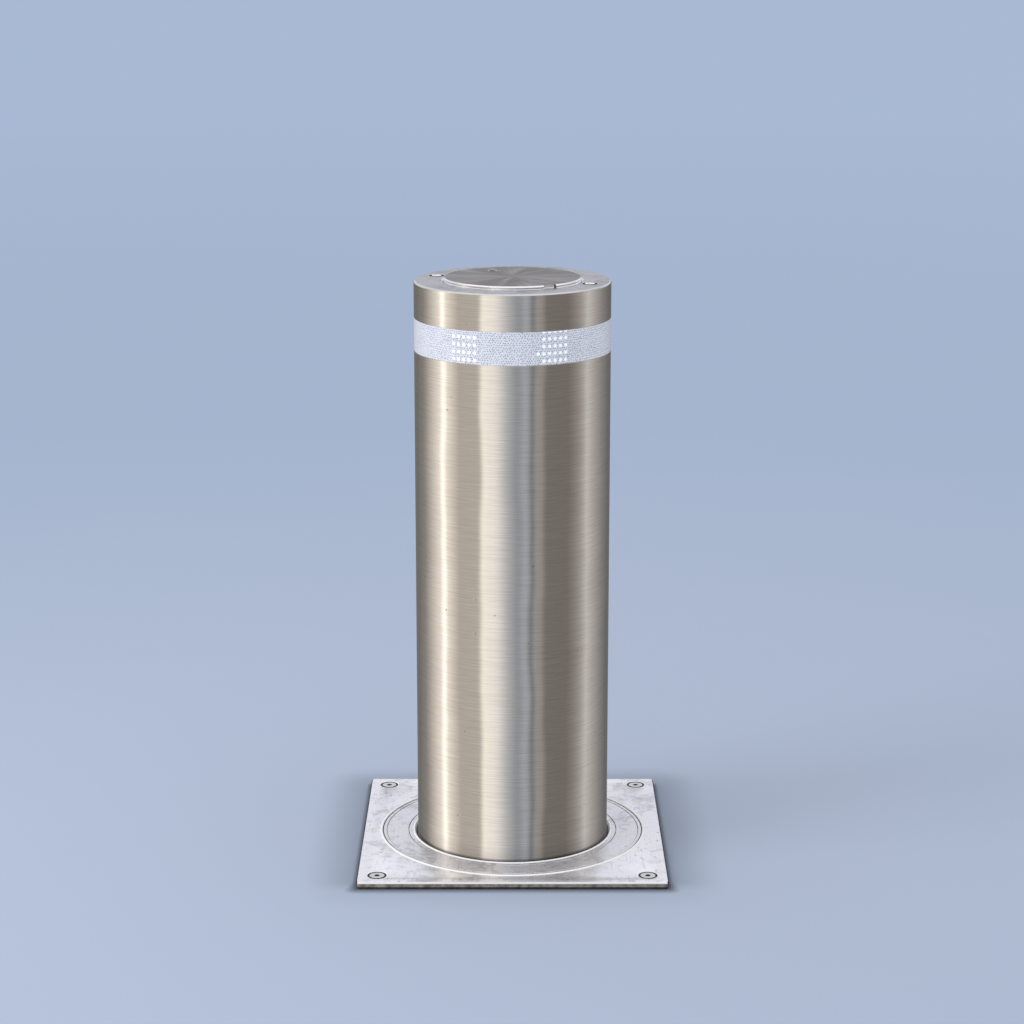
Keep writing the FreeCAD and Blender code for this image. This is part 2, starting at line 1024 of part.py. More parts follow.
def lock_shaft():
    return rod(shaft_r, bolt_top + shaft_above_bolt, bridge_top + shaft_in_rotor, lock_x, lock_y)


# The follower pin's distance from the shaft grows evenly as the cam turns, by the bolt's throw
# over a quarter turn.

slot_over = 0.5
slot_steps = 18
slot_gap = 0.2
cam_wall = 5.0
cam_start = -24.0
cam_stop = 114.0
cam_steps = 23
cam_hub_wall = 6.0
cam_hub_high = 4.0
cam_heel = [(13.0, 0.5), (11.0, 1.6)]


def pin_reach(turned_by):
    return pin_near + bolt_throw * turned_by / 90


def cam_point(reach, turned_by, z, ahead=0.0):
    a = math.radians(90 - turned_by) + ahead
    return V(lock_x + reach * math.cos(a), lock_y + reach * math.sin(a), z)


def spiral_slot(half_width):
    z = cam_low - beyond
    near_side = []
    far_side = []
    for k in range(slot_steps + 1):
        turned_by = -slot_over + (90 + 2 * slot_over) * k / slot_steps
        spot = cam_point(pin_reach(turned_by), turned_by, z)
        along = cam_point(pin_reach(turned_by + 0.01), turned_by + 0.01, z) - spot
        aside = V(-along.y, along.x, 0).normalize() * half_width
        near_side.append(spot + aside)
        far_side.append(spot - aside)
    outline = near_side + far_side[::-1]
    face = Part.Face(Part.makePolygon(outline + [outline[0]]))
    middle = face.extrude(V(0, 0, cam_thick + 2 * beyond))
    ends = []
    for turned_by in (-slot_over, 90 + slot_over):
        spot = cam_point(pin_reach(turned_by), turned_by, z)
        ends.append(rod(half_width, z, cam_high + beyond, spot.x, spot.y))
    return joined(middle, *ends)


def lock_cam():
    points = []
    for k in range(cam_steps + 1):
        turned_by = cam_start + (cam_stop - cam_start) * k / cam_steps
        reach = pin_reach(max(0, min(90, turned_by)))
        points.append(cam_point(reach + pin_dia / 2 + cam_wall, turned_by, cam_low))
    for r, ahead in cam_heel:
        points.append(cam_point(r, cam_stop, cam_low, -ahead))
    r, ahead = cam_heel[0]
    points.append(cam_point(r, cam_start, cam_low, ahead))
    face = Part.Face(Part.makePolygon(points + [points[0]]))
    snail = face.extrude(V(0, 0, cam_thick))
    hub_top = cam_high + cam_hub_high
    hub = rod(shaft_r + cam_hub_wall, cam_low, hub_top, lock_x, lock_y)
    bore = rod(shaft_r, cam_low - beyond, hub_top + beyond, lock_x, lock_y)
    return less(joined(snail, hub), spiral_slot(pin_dia / 2 + slot_gap), bore)


bolt_back = 7.0
bolt_nose = 2.0
pin_in_bolt = 12.0


def lock_bolt():
    far = bar_near - bolt_back
    half = bolt_wide / 2
    bar = block(lock_x - half, lock_x + half, lock_y, far, bolt_low, bolt_top)
    nose = [e for e in bar.Edges if abs(e.BoundBox.YMin - far) < 0.01 and e.BoundBox.YLength < 0.01]
    bar = bar.makeChamfer(bolt_nose, nose)
    hole = rod(pin_dia / 2, bolt_top - pin_in_bolt, bolt_top + beyond, lock_x, lock_y + pin_near)
    return less(bar, hole)


def follower_pin():
    return rod(pin_dia / 2, bolt_top - pin_in_bolt, cam_high - beyond, lock_x, lock_y + pin_near)


# Every piece by name

def pieces():
    made = {
        "casing_front": casing_front(),
        "casing_back": casing_back(),
        "casing_left": casing_left(),
        "casing_right": casing_right(),
        "pit_floor": pit_floor(),
        "corner_lugs": corner_lugs(),
        "anchor_lugs": anchor_lugs(),
        "drain_socket": drain_socket(),
        "flange_plate": flange_plate(),
        "cover_ring": cover_ring(),
        "ring_studs": ring_studs(),
        "wiper_retainer": wiper_retainer(),
        "wiper_seal": wiper_seal(),
        "upper_guide_ring": upper_guide_ring(),
        "chassis_head": chassis_head(),
        "column_nuts": column_nuts(),
        "stop_sleeves": stop_sleeves(),
        "stop_buffers": stop_buffers(),
        "chassis_base": chassis_base(),
        "strike_bar": strike_bar(),
        "base_buffers": base_buffers(),
        "spring_foot_bracket": spring_foot_bracket(),
        "spring_foot_pin": spring_foot_pin(),
        "gas_spring_rod": gas_spring_rod(),
        "bollard_tube": bollard_tube(),
        "head_ring": head_ring(),
        "head_cover": head_cover(),
        "cover_seal": cover_seal(),
        "head_bridge": head_bridge(),
        "lock_barrel": lock_barrel(),
        "spring_head_bracket": spring_head_bracket(),
        "spring_head_pin": spring_head_pin(),
        "gas_spring_body": gas_spring_body(),
        "gas_spring_gland": gas_spring_gland(),
        "foot_plate": foot_plate(),
        "bolt_housing": bolt_housing(),
        "cam_bridge": cam_bridge(),
        "reflective_band": reflective_band(),
        "key_rotor": key_rotor(),
        "lock_shaft": lock_shaft(),
        "lock_cam": lock_cam(),
        "lock_bolt": lock_bolt(),
        "follower_pin": follower_pin(),
    }
    for k, (sx, sy) in enumerate(corners):
        made[f"plate_screw_{k + 1}"] = plate_screw(sx, sy)
        made[f"guide_column_{k + 1}"] = guide_column(sx, sy)
        made[f"foot_bush_{k + 1}"] = foot_bush(sx, sy)
    for k, a in enumerate(plug_angles):
        made[f"lifting_plug_{k + 1}"] = lifting_plug(a)
    return made


os.makedirs("parts", exist_ok=True)
for name, shape in pieces().items():
    if not shape.isValid():
        print("not valid:", name)
    shape.exportStep(f"parts/{name}.step")
    box = shape.BoundBox
    print(name, len(shape.Solids), round(shape.Volume / 1000, 1), "cm3",
          [round(v, 1) for v in (box.XMin, box.YMin, box.ZMin, box.XMax, box.YMax, box.ZMax)])
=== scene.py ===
# Semi-automatic bollard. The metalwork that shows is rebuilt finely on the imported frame,
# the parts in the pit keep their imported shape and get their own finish.
# Metres, +Z up, the tube's axis at the origin, the viewer stands on the -Y side.
import json
import math
import bmesh
import bpy
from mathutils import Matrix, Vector


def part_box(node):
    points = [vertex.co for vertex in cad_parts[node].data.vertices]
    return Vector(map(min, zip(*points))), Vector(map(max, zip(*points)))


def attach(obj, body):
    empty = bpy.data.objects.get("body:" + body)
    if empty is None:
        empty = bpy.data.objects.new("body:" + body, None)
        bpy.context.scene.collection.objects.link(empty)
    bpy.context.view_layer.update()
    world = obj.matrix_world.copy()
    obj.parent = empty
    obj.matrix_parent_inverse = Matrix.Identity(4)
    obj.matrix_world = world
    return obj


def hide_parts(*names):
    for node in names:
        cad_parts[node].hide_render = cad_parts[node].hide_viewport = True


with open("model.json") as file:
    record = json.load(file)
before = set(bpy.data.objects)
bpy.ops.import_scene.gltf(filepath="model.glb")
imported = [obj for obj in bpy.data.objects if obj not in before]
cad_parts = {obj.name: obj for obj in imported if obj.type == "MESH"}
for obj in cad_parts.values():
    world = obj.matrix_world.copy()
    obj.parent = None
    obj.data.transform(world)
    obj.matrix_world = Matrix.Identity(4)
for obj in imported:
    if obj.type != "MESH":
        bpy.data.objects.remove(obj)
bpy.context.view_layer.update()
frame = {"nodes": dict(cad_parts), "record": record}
nodes = frame["nodes"]
scene = bpy.context.scene
mm = 0.001
print("frame loaded:", len(nodes), "nodes")


# Sizes read from the frame

def reach(node):
    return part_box(node)[1].x


def levels(node):
    low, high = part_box(node)
    return low.z, high.z


tubeRadius = reach("bollard_tube")
tubeLow, tubeHigh = levels("bollard_tube")
headLow, headTop = levels("head_ring")
discRadius = reach("head_cover")
coverLow, discTop = levels("head_cover")
bandLow, bandHigh = levels("reflective_band")
bandRadius = reach("reflective_band")
plateHalf = reach("flange_plate")
plateTop = levels("flange_plate")[1]
ringRadius = reach("cover_ring")
ringFloor = levels("cover_ring")[0]
retainerRadius = reach("wiper_retainer")
retainerLow = levels("wiper_retainer")[0]
sealLow, sealHigh = levels("wiper_seal")
sealRadius = reach("wiper_seal")


# Mesh tools

largeSides = 256  # of the big turned shapes
smallSides = 64  # of plugs, screws and their holes
sharpAbove = 30  # degrees, edges past it stay crisp
past = 0.01  # how far a cutter reaches beyond what it cuts
slack = 0.1 * mm  # room in the tests that pick faces by their place
level = 0.97  # a face lies level when its normal's share upwards is past this,
sloping = 0.9  # slopes when it is less than this,
lookingUp = 0.3  # and still looks up when it is more than this


def facesBetween(bm, lower, upper):
    count = len(lower)
    for k in range(count):
        bm.faces.new((lower[k], lower[(k + 1) % count], upper[(k + 1) % count], upper[k]))


def closedStack(bm, loops):
    # walls between the loops, a floor under the first and a lid on the last
    for lower, upper in zip(loops, loops[1:]):
        facesBetween(bm, lower, upper)
    bm.faces.new(loops[0][::-1])
    bm.faces.new(loops[-1])


def objectFrom(bm, name, material, sharpDegrees=sharpAbove):
    bmesh.ops.remove_doubles(bm, verts=bm.verts, dist=1e-7)
    bmesh.ops.recalc_face_normals(bm, faces=bm.faces)
    mesh = bpy.data.meshes.new(name)
    bm.to_mesh(mesh)
    bm.free()
    mesh.shade_smooth()
    mesh.set_sharp_from_angle(angle=math.radians(sharpDegrees))
    mesh.materials.append(material)
    obj = bpy.data.objects.new(name, mesh)
    scene.collection.objects.link(obj)
    return obj


def turned(name, profile, material, sides=largeSides, x=0.0, y=0.0):
    # profile is a list of (radius, height); one that starts and ends on the axis stays open there
    bm = bmesh.new()
    verts = [bm.verts.new((x + r, y, z)) for r, z in profile]
    edges = [bm.edges.new((a, b)) for a, b in zip(verts, verts[1:])]
    if profile[0][0] > 0:
        edges.append(bm.edges.new((verts[-1], verts[0])))
    bmesh.ops.spin(bm, geom=verts + edges, cent=(x, y, 0), axis=(0, 0, 1), angle=math.tau,
                   steps=sides, use_merge=True)
    return objectFrom(bm, name, material)


def corner(r, z, radius, startDegrees, stopDegrees, count=6):
    # points of a rounded corner about the centre (r, z) of a profile
    points = []
    for k in range(count + 1):
        a = math.radians(startDegrees + (stopDegrees - startDegrees) * k / count)
        points.append((r + radius * math.cos(a), z + radius * math.sin(a)))
    return points


def blockOf(name, low, high):
    bm = bmesh.new()
    bmesh.ops.create_cube(bm, size=1.0)
    for v in bm.verts:
        v.co = Vector([low[k] + (v.co[k] + 0.5) * (high[k] - low[k]) for k in range(3)])
    return objectFrom(bm, name, cutterFinish)


def cutBy(obj, cutters):
    for cutter in cutters:
        step = obj.modifiers.new("cut", "BOOLEAN")
        step.operation = "DIFFERENCE"
        step.solver = "EXACT"
        step.object = cutter
    bpy.context.view_layer.update()
    evaluated = obj.evaluated_get(bpy.context.evaluated_depsgraph_get())
    mesh = bpy.data.meshes.new_from_object(evaluated)
    obj.modifiers.clear()
    obj.data = mesh
    for cutter in cutters:
        bpy.data.objects.remove(cutter)
    mesh.shade_smooth()
    mesh.set_sharp_from_angle(angle=math.radians(sharpAbove))


def addFinishes(obj, *others):
    # further finishes beside the main one; gives the slot number of each, the main one first
    for material in others:
        obj.data.materials.append(material)
    return range(len(others) + 1)


# Material tools

class nodeGraph:
    def __init__(self, tree, coordinates="Object"):
        self.tree = tree
        self.place = self.add("ShaderNodeTexCoord").outputs[coordinates]
        self.x, self.y, self.z = self.add("ShaderNodeSeparateXYZ", {0: self.place}).outputs

    def add(self, kind, values=None, **settings):
        node = self.tree.nodes.new(kind)
        for key, value in settings.items():
            setattr(node, key, value)
        for key, value in (values or {}).items():
            self.put(node.inputs[key], value)
        return node

    def put(self, socket, value):
        if isinstance(value, bpy.types.NodeSocket):
            self.tree.links.new(value, socket)
        else:
            socket.default_value = value

    def math(self, operation, a, b=0.0, c=0.0):
        return self.add("ShaderNodeMath", {0: a, 1: b, 2: c}, operation=operation).outputs[0]

    def times(self, a, b):
        return self.math("MULTIPLY", a, b)

    def vector(self, x, y, z):
        return self.add("ShaderNodeCombineXYZ", {0: x, 1: y, 2: z}).outputs[0]

    def lengthOf(self, vector):
        return self.add("ShaderNodeVectorMath", {0: vector}, operation="LENGTH").outputs["Value"]

    def scaled(self, x, y, z):
        return self.add("ShaderNodeMapping", {"Vector": self.place, "Scale": (x, y, z)}).outputs[0]

    def noise(self, vector, scale, detail=2.0, roughness=0.5, distortion=0.0):
        return self.add("ShaderNodeTexNoise", {
            "Vector": vector, "Scale": scale, "Detail": detail, "Roughness": roughness,
            "Distortion": distortion}).outputs[0]

    def cells(self, scale):
        return self.add("ShaderNodeTexVoronoi", {"Vector": self.place, "Scale": scale}).outputs

    def ramp(self, value, stops):
        # stops are (place, colour)
        node = self.add("ShaderNodeValToRGB", {0: value})
        elements = node.color_ramp.elements
        while len(elements) < len(stops):
            elements.new(0.5)
        for element, (at, colour) in zip(elements, stops):
            element.position = at
            element.color = (*colour, 1.0)
        return node.outputs[0]

    def between(self, value, low, high, toLow=0.0, toHigh=1.0, curve="LINEAR"):
        return self.add("ShaderNodeMapRange", {0: value, 1: low, 2: high, 3: toLow, 4: toHigh},
                        interpolation_type=curve).outputs[0]

    def vary(self, noise, toLow=0.0, toHigh=1.0):
        # over the range in which most of a noise lies
        return self.between(noise, 0.3, 0.7, toLow, toHigh)

    def mix(self, factor, a, b, blend="MIX"):
        return self.add("ShaderNodeMix", {0: factor, 6: a, 7: b}, data_type="RGBA", blend_type=blend).outputs[2]

    def bump(self, height, distance, strength=1.0, under=None):
        values = {"Height": height, "Distance": distance, "Strength": strength}
        if under is not None:
            values["Normal"] = under
        return self.add("ShaderNodeBump", values).outputs[0]

    def angle(self):
        # round the axis from the viewer's side, to the right, with the seam at the back
        return self.math("ARCTAN2", self.x, self.times(self.y, -1.0))

    def wound(self, along, perAlong, seed, up, perUp):
        # stretched coordinates on a turned surface
        return self.vector(self.times(along, perAlong), seed, self.times(up, perUp))

    def pits(self, perMetre, size, rare):
        # small round pits, in the cells that a noise picks
        cell = self.cells(perMetre)
        picked = self.math("GREATER_THAN", self.noise(cell["Position"], 31.0, 0.0), rare)
        return self.times(self.between(cell["Distance"], *size, 1.0, 0.0), picked)

    def turnedGrain(self, amount):
        tangent = self.add("ShaderNodeTangent", direction_type="RADIAL", axis="Z").outputs[0]
        return {"Anisotropic": amount, "Anisotropic Rotation": 0.25, "Tangent": tangent}

    def dressed(self, looks):
        for socket, value in looks.items():
            self.put(self.shader.inputs[socket], value)
        return self.material


def finishGraph(name):
    material = bpy.data.materials.new(name)
    material.use_nodes = True
    g = nodeGraph(material.node_tree)
    g.material = material
    g.shader = g.tree.nodes["Principled BSDF"]
    return g


def grey(level, warm=0.0):
    return (level * (1 + warm), level, level * (1 - warm), 1.0)


def shaded(colour, share):
    return tuple(c * share for c in colour[:3]) + (1.0,)


cutterFinish = bpy.data.materials.new("cutter")
groundPieces = []


# Finishes of the metal that shows

tubeLook = {
    "colour": (0.685, 0.675, 0.66, 1.0),
    "darker": (0.585, 0.57, 0.545, 1.0),
    "roughness": (0.11, 0.15),
    "anisotropy": 0.4,
    "fineLines": (26.0, 1100.0),
    "coarseLines": (15.0, 520.0),
    "lineSway": 0.0015,
    "scratches": (0.62, 0.74, 0.0, 0.5),
    "pitsPerMetre": 55.0,
    "pitSize": (0.05, 0.08),
    "pitRare": 0.57,
    "waves": (8.0, 9.0),
    "waveDeep": 0.0022,
    "footDarkening": (0.010, 0.034),
    "footShade": 0.4,
    "wiperLine": (0.0100, 0.0145),
    "wiperShade": 0.9,
}


def brushedTube(name, radius):
    g = finishGraph(name)
    look = tubeLook
    arc = g.times(g.angle(), radius)
    height = g.z

    def lines(pitch, seed, at):
        return g.noise(g.wound(arc, pitch[0], seed, at, pitch[1]), 1.0, 2.0, 0.6)

    sway = g.noise(g.wound(arc, 5.0, 0.0, height, 3.0), 1.0, 1.0)
    swayed = g.math("ADD", height, g.times(sway, look["lineSway"]))
    fine = lines(look["fineLines"], 3.0, swayed)
    coarse = lines(look["coarseLines"], 8.0, swayed)
    cloud = g.noise(g.scaled(1.0, 1.0, 0.6), 5.0, 3.0)
    grain = g.math("ADD", g.times(fine, 0.5), g.times(coarse, 0.5))
    spot = g.pits(look["pitsPerMetre"], look["pitSize"], look["pitRare"])
    wave = g.noise(g.wound(arc, look["waves"][0], 12.0, height, look["waves"][1]), 1.0, 1.0)
    tone = g.mix(g.between(grain, 0.38, 0.62), look["darker"], look["colour"])
    tone = g.mix(g.between(coarse, *look["scratches"]), tone, look["darker"])
    tone = g.mix(g.between(cloud, 0.4, 0.75, 0.0, 0.12), tone, grey(0.5, 0.02))
    tone = g.mix(g.times(spot, 0.7), tone, grey(0.15, 0.1))
    # darker towards the foot, and a near-black line at the wiper's height
    tone = g.mix(g.between(height, *look["footDarkening"], look["footShade"], 0.0), tone, grey(0.3))
    tone = g.mix(g.between(height, *look["wiperLine"], look["wiperShade"], 0.0), tone, grey(0.05))
    relief = g.bump(grain, 0.00002, 0.25, g.bump(wave, look["waveDeep"], 1.0))
    return g.dressed({
        "Base Color": tone, "Metallic": 1.0, "Roughness": g.vary(grain, *look["roughness"]),
        **g.turnedGrain(look["anisotropy"]),
        "Normal": g.bump(g.times(spot, -1.0), 0.0002, 0.6, relief)})


discLook = {
    "colour": (0.33, 0.315, 0.295, 1.0),
    "darker": (0.205, 0.195, 0.185, 1.0),
    "streakHighlight": (0.46, 0.445, 0.425, 1.0),
    "grazing": (0.68, 0.67, 0.66, 1.0),
    "roughness": (0.22, 0.38),
    "anisotropy": 0.7,
    "ringsPerMetre": 1500.0,
    "ringsRound": 1.5,
    "sweepsRound": 3.2,
    "sweepsPerMetre": 9.0,
}


def turnedDisc(name):
    g = finishGraph(name)
    look = discLook
    angle = g.angle()
    out = g.math("SQRT", g.math("ADD", g.times(g.x, g.x), g.times(g.y, g.y)))
    rings = g.noise(g.vector(g.times(out, look["ringsPerMetre"]), g.times(angle, look["ringsRound"]), 2.0),
                    1.0, 3.0, 0.6)
    sweeps = g.noise(g.vector(g.times(angle, look["sweepsRound"]), g.times(out, look["sweepsPerMetre"]), 5.0),
                     1.0, 4.0, 0.6)
    tone = g.mix(g.between(rings, 0.2, 0.6), look["darker"], look["colour"])
    # radial streaks of painted highlight and painted shade, as light lies on a turned face
    tone = g.mix(g.between(sweeps, 0.48, 0.62, 0.0, 0.85), tone, look["streakHighlight"])
    tone = g.mix(g.between(sweeps, 0.47, 0.34, 0.0, 0.7), tone, look["darker"])
    return g.dressed({
        "Base Color": tone, "Metallic": 1.0, "Roughness": g.vary(rings, *look["roughness"]),
        "Specular Tint": look["grazing"], **g.turnedGrain(look["anisotropy"]),
        "Normal": g.bump(rings, 0.00003, 0.4)})


plateLook = {
    "colour": (0.89, 0.885, 0.925, 1.0),
    "smudge": (0.55, 0.545, 0.59, 1.0),
    "roughness": (0.23, 0.38),
    "metallic": 0.65,
    "scratches": (0.64, 0.72, 0.0, 0.4),
    "pitsPerMetre": 85.0,
    "pitSize": (0.09, 0.16),
    "pitRare": 0.54,
}


def satinPlate(name, shade=1.0):
    g = finishGraph(name)
    look = plateLook
    smudge = shaded(look["smudge"], shade)
    bright, dull = look["roughness"]
    cloud = g.noise(g.place, 15.0, 5.0, 0.62, 0.6)
    blotch = g.noise(g.place, 46.0, 4.0, 0.6, 1.2)
    swirl = g.noise(g.place, 24.0, 2.0, 0.5, 2.5)
    scratch = g.noise(g.scaled(420.0, 22.0, 22.0), 1.0, 2.0, 0.4, 0.6)
    spot = g.pits(look["pitsPerMetre"], look["pitSize"], look["pitRare"])
    mottle = g.math("ADD", g.times(cloud, 0.6), g.times(blotch, 0.4))
    tone = g.mix(g.between(mottle, 0.37, 0.49), smudge, shaded(look["colour"], shade))
    tone = g.mix(g.between(swirl, 0.57, 0.70, 0.0, 0.5), tone, smudge)
    tone = g.mix(g.between(scratch, *look["scratches"]), tone, grey(0.38))
    tone = g.mix(g.times(spot, 0.75), tone, grey(0.2))
    relief = g.bump(mottle, 0.0003, 0.3)
    return g.dressed({
        "Base Color": tone, "Metallic": look["metallic"],
        "Roughness": g.between(mottle, 0.35, 0.65, dull, bright),
        "Normal": g.bump(g.times(spot, -1.0), 0.0003, 0.7, relief)})


# a pale, smooth finish: real polish on the screws and the mirror edges, and a painted highlight where its pale
# diffuse part makes bevels, edges and plug heads shine in any light
def polishAndHighlight(name, colour=(0.97, 0.965, 0.98, 1.0), roughness=0.16, metallic=0.6):
    g = finishGraph(name)
    rub = g.noise(g.place, 180.0, 3.0)
    return g.dressed({
        "Base Color": g.mix(g.vary(rub, 0.0, 0.3), colour, shaded(colour, 0.8)), "Metallic": metallic,
        "Roughness": g.vary(rub, roughness, roughness + 0.12), "Normal": g.bump(rub, 0.00003, 0.4)})


# dark steel with a mottle of grime; the darkness itself is painted shade, for the hollows, gaps and shaded
# sides it goes on
def grimeAndShadeSteel(name, colour):
    g = finishGraph(name)
    dirt = g.noise(g.place, 120.0, 4.0)
    return g.dressed({
        "Base Color": g.mix(g.between(dirt, 0.35, 0.65), shaded(colour, 0.45), colour), "Metallic": 0.6,
        "Roughness": g.vary(dirt, 0.6, 0.35), "Normal": g.bump(dirt, 0.0002, 0.5)})


# The reflective band: pale film on a honeycomb, with clusters of bright beads

bandLook = {
    "colour": (0.90, 0.905, 0.96, 1.0),
    "cell": (0.27, 0.28, 0.37, 1.0),
    "haze": (0.70, 0.71, 0.79, 1.0),
    "cellPitch": 3.5 * mm,
    "rowPitch": 0.87,
    "cellEdge": (0.21, 0.32),
    "cellSway": 0.5,
    "clusters": ((-28.7, 4, -1.6 * mm), (24.8, 5, 2.5 * mm), (151.3, 4, -1.6 * mm), (204.8, 5, 2.5 * mm)),
    "columns": 5,
    "columnStep": 3.4,
    "rowStep": {4: 10.2 * mm, 5: 9.9 * mm},
    "beadSides": 14,
    "beadRings": ((1.0, 0.0), (0.85, 0.55), (0.5, 0.88)),
    "beadRadius": 2.6 * mm,
    "beadHigh": 0.08 * mm,
    "beadRooted": 0.02 * mm,
    "filmThick": 0.5 * mm,
    "filmSoft": 0.12 * mm,
}


def reflectiveFilm(name):
    g = finishGraph(name)
    look = bandLook
    arc = g.times(g.angle(), bandRadius)
    across = g.math("DIVIDE", arc, look["cellPitch"])
    up = g.math("DIVIDE", g.z, look["cellPitch"] * look["rowPitch"])
    row = g.math("FLOOR", up)
    shifted = g.math("ADD", across, g.times(row, 0.5))
    column = g.math("FLOOR", shifted)
    chance = g.add("ShaderNodeTexWhiteNoise", {"Vector": g.vector(column, row, 0.0)}, noise_dimensions="2D")
    sway = g.add("ShaderNodeSeparateXYZ", {0: chance.outputs["Color"]}).outputs
    beside = g.math("MULTIPLY_ADD", sway[0], look["cellSway"], g.math("FRACT", shifted))
    over = g.math("MULTIPLY_ADD", sway[1], look["cellSway"], g.math("FRACT", up))
    middle = 0.5 + look["cellSway"] / 2
    gone = g.lengthOf(g.vector(g.math("SUBTRACT", beside, middle), g.math("SUBTRACT", over, middle), 0.0))
    haze = g.noise(g.wound(arc, 60.0, 0.0, g.z, 60.0), 1.0, 4.0, 0.6)
    cell = g.times(g.between(gone, *look["cellEdge"], 1.0, 0.0), g.between(haze, 0.3, 0.6, 0.45, 1.0))
    tone = g.mix(cell, look["colour"], look["cell"])
    tone = g.mix(g.between(haze, 0.4, 0.75, 0.0, 0.3), tone, look["haze"])
    return g.dressed({
        "Base Color": tone, "Roughness": g.vary(haze, 0.3, 0.45), "Normal": g.bump(cell, 0.0001, 0.5),
        "Coat Weight": 0.12, "Coat Roughness": 0.2})


def beadWhiteGlow(name):
    g = finishGraph(name)
    speck = g.noise(g.place, 900.0, 1.0)
    # the beads glow faintly though they are no lamp: painted light
    return g.dressed({
        "Base Color": g.mix(speck, (0.95, 0.95, 0.98, 1.0), (1.0, 1.0, 1.0, 1.0)), "Roughness": 0.25,
        "Emission Color": (0.95, 0.96, 1.0, 1.0), "Emission Strength": 0.25})


# Finishes of the parts in the pit

def galvanised(name):
    g = finishGraph(name)
    tint = g.noise(g.cells(90.0)["Position"], 60.0, 0.0)
    frost = g.noise(g.place, 30.0, 4.0)
    tone = g.ramp(tint, [(0.3, (0.34, 0.36, 0.38)), (0.5, (0.50, 0.52, 0.54)), (0.7, (0.66, 0.68, 0.70))])
    tone = g.mix(g.between(frost, 0.4, 0.7, 0.0, 0.5), tone, (0.52, 0.53, 0.54, 1.0))
    return g.dressed({
        "Base Color": tone, "Metallic": 0.85, "Roughness": g.vary(tint, 0.32, 0.55),
        "Normal": g.bump(frost, 0.0003, 0.4)})


def groundSteel(name, colour, roughness=0.14):
    g = finishGraph(name)
    lines = g.noise(g.scaled(30.0, 30.0, 1600.0), 1.0, 2.0)
    oil = g.noise(g.place, 14.0, 3.0)
    tone = g.mix(g.vary(lines), colour, (colour[0] * 0.84, colour[1] * 0.84, colour[2] * 0.85, 1.0))
    tone = g.mix(g.between(oil, 0.5, 0.75, 0.0, 0.25), tone, (0.45, 0.42, 0.36, 1.0))
    return g.dressed({
        "Base Color": tone, "Metallic": 1.0, "Roughness": g.vary(lines, roughness, roughness + 0.1),
        "Normal": g.bump(lines, 0.00003, 0.4)})


def zincPlated(name):
    g = finishGraph(name)
    film = g.noise(g.place, 45.0, 3.0)
    tone = g.ramp(film, [(0.35, (0.62, 0.56, 0.36)), (0.5, (0.70, 0.66, 0.50)), (0.65, (0.62, 0.60, 0.58))])
    return g.dressed({
        "Base Color": tone, "Metallic": 1.0, "Roughness": g.vary(film, 0.25, 0.4),
        "Normal": g.bump(film, 0.0001, 0.3)})


def blackPaint(name):
    g = finishGraph(name)
    peel = g.noise(g.place, 420.0, 2.0)
    dust = g.noise(g.place, 12.0, 4.0)
    tone = g.mix(g.between(dust, 0.45, 0.8, 0.0, 0.5), (0.018, 0.018, 0.02, 1.0), (0.06, 0.058, 0.055, 1.0))
    return g.dressed({
        "Base Color": tone, "Roughness": g.between(dust, 0.4, 0.8, 0.28, 0.5),
        "Normal": g.bump(peel, 0.0001, 0.35), "Coat Weight": 0.4})


def rubber(name):
    g = finishGraph(name)
    pores = g.noise(g.place, 700.0, 3.0)
    bloom = g.noise(g.place, 25.0, 3.0)
    tone = g.mix(g.between(bloom, 0.4, 0.8, 0.0, 0.7), (0.012, 0.012, 0.013, 1.0), (0.045, 0.045, 0.047, 1.0))
    return g.dressed({
        "Base Color": tone, "Roughness": g.vary(pores, 0.6, 0.8), "Normal": g.bump(pores, 0.0001, 0.5)})


def nylon(name):
    g = finishGraph(name)
    flow = g.noise(g.scaled(40.0, 40.0, 220.0), 1.0, 3.0)
    stain = g.noise(g.place, 18.0, 3.0)
    tone = g.mix(g.between(stain, 0.45, 0.8, 0.0, 0.6), (0.74, 0.72, 0.65, 1.0), (0.56, 0.53, 0.45, 1.0))
    return g.dressed({
        "Base Color": tone, "Roughness": g.vary(flow, 0.42, 0.58), "Normal": g.bump(flow, 0.0001, 0.3),
        "Subsurface Weight": 0.08})


def bronze(name):
    g = finishGraph(name)
    turn = g.noise(g.scaled(60.0, 60.0, 1400.0), 1.0, 2.0)
    tarnish = g.noise(g.place, 60.0, 4.0)
    tone = g.mix(g.between(tarnish, 0.4, 0.75), (0.72, 0.48, 0.24, 1.0), (0.42, 0.27, 0.14, 1.0))
    return g.dressed({
        "Base Color": tone, "Metallic": 1.0, "Roughness": g.vary(turn, 0.24, 0.38),
        "Normal": g.bump(turn, 0.00005, 0.4)})


finishes = {
    "tube_stainless": brushedTube("brushedTube", tubeRadius),
    "cover_stainless": turnedDisc("turnedDisc"),
    "plate_stainless": satinPlate("satinPlate"),
    "screw_stainless": polishAndHighlight("screwSteel", (0.70, 0.695, 0.70, 1.0), 0.24, 0.85),
    "galvanised_steel": galvanised("galvanisedSteel"),
    "bright_steel": groundSteel("groundSteel", (0.80, 0.80, 0.81, 1.0)),
    "zinc_steel": zincPlated("zincSteel"),
    "cylinder_black": blackPaint("cylinderBlack"),
    "black_rubber": rubber("blackRubber"),
    "guide_nylon": nylon("guideNylon"),
    "bush_bronze": bronze("bushBronze"),
    "reflective_tape": reflectiveFilm("reflectiveFilm"),
    "lock_steel": groundSteel("lockSteel", (0.66, 0.66, 0.66, 1.0), 0.22),
}
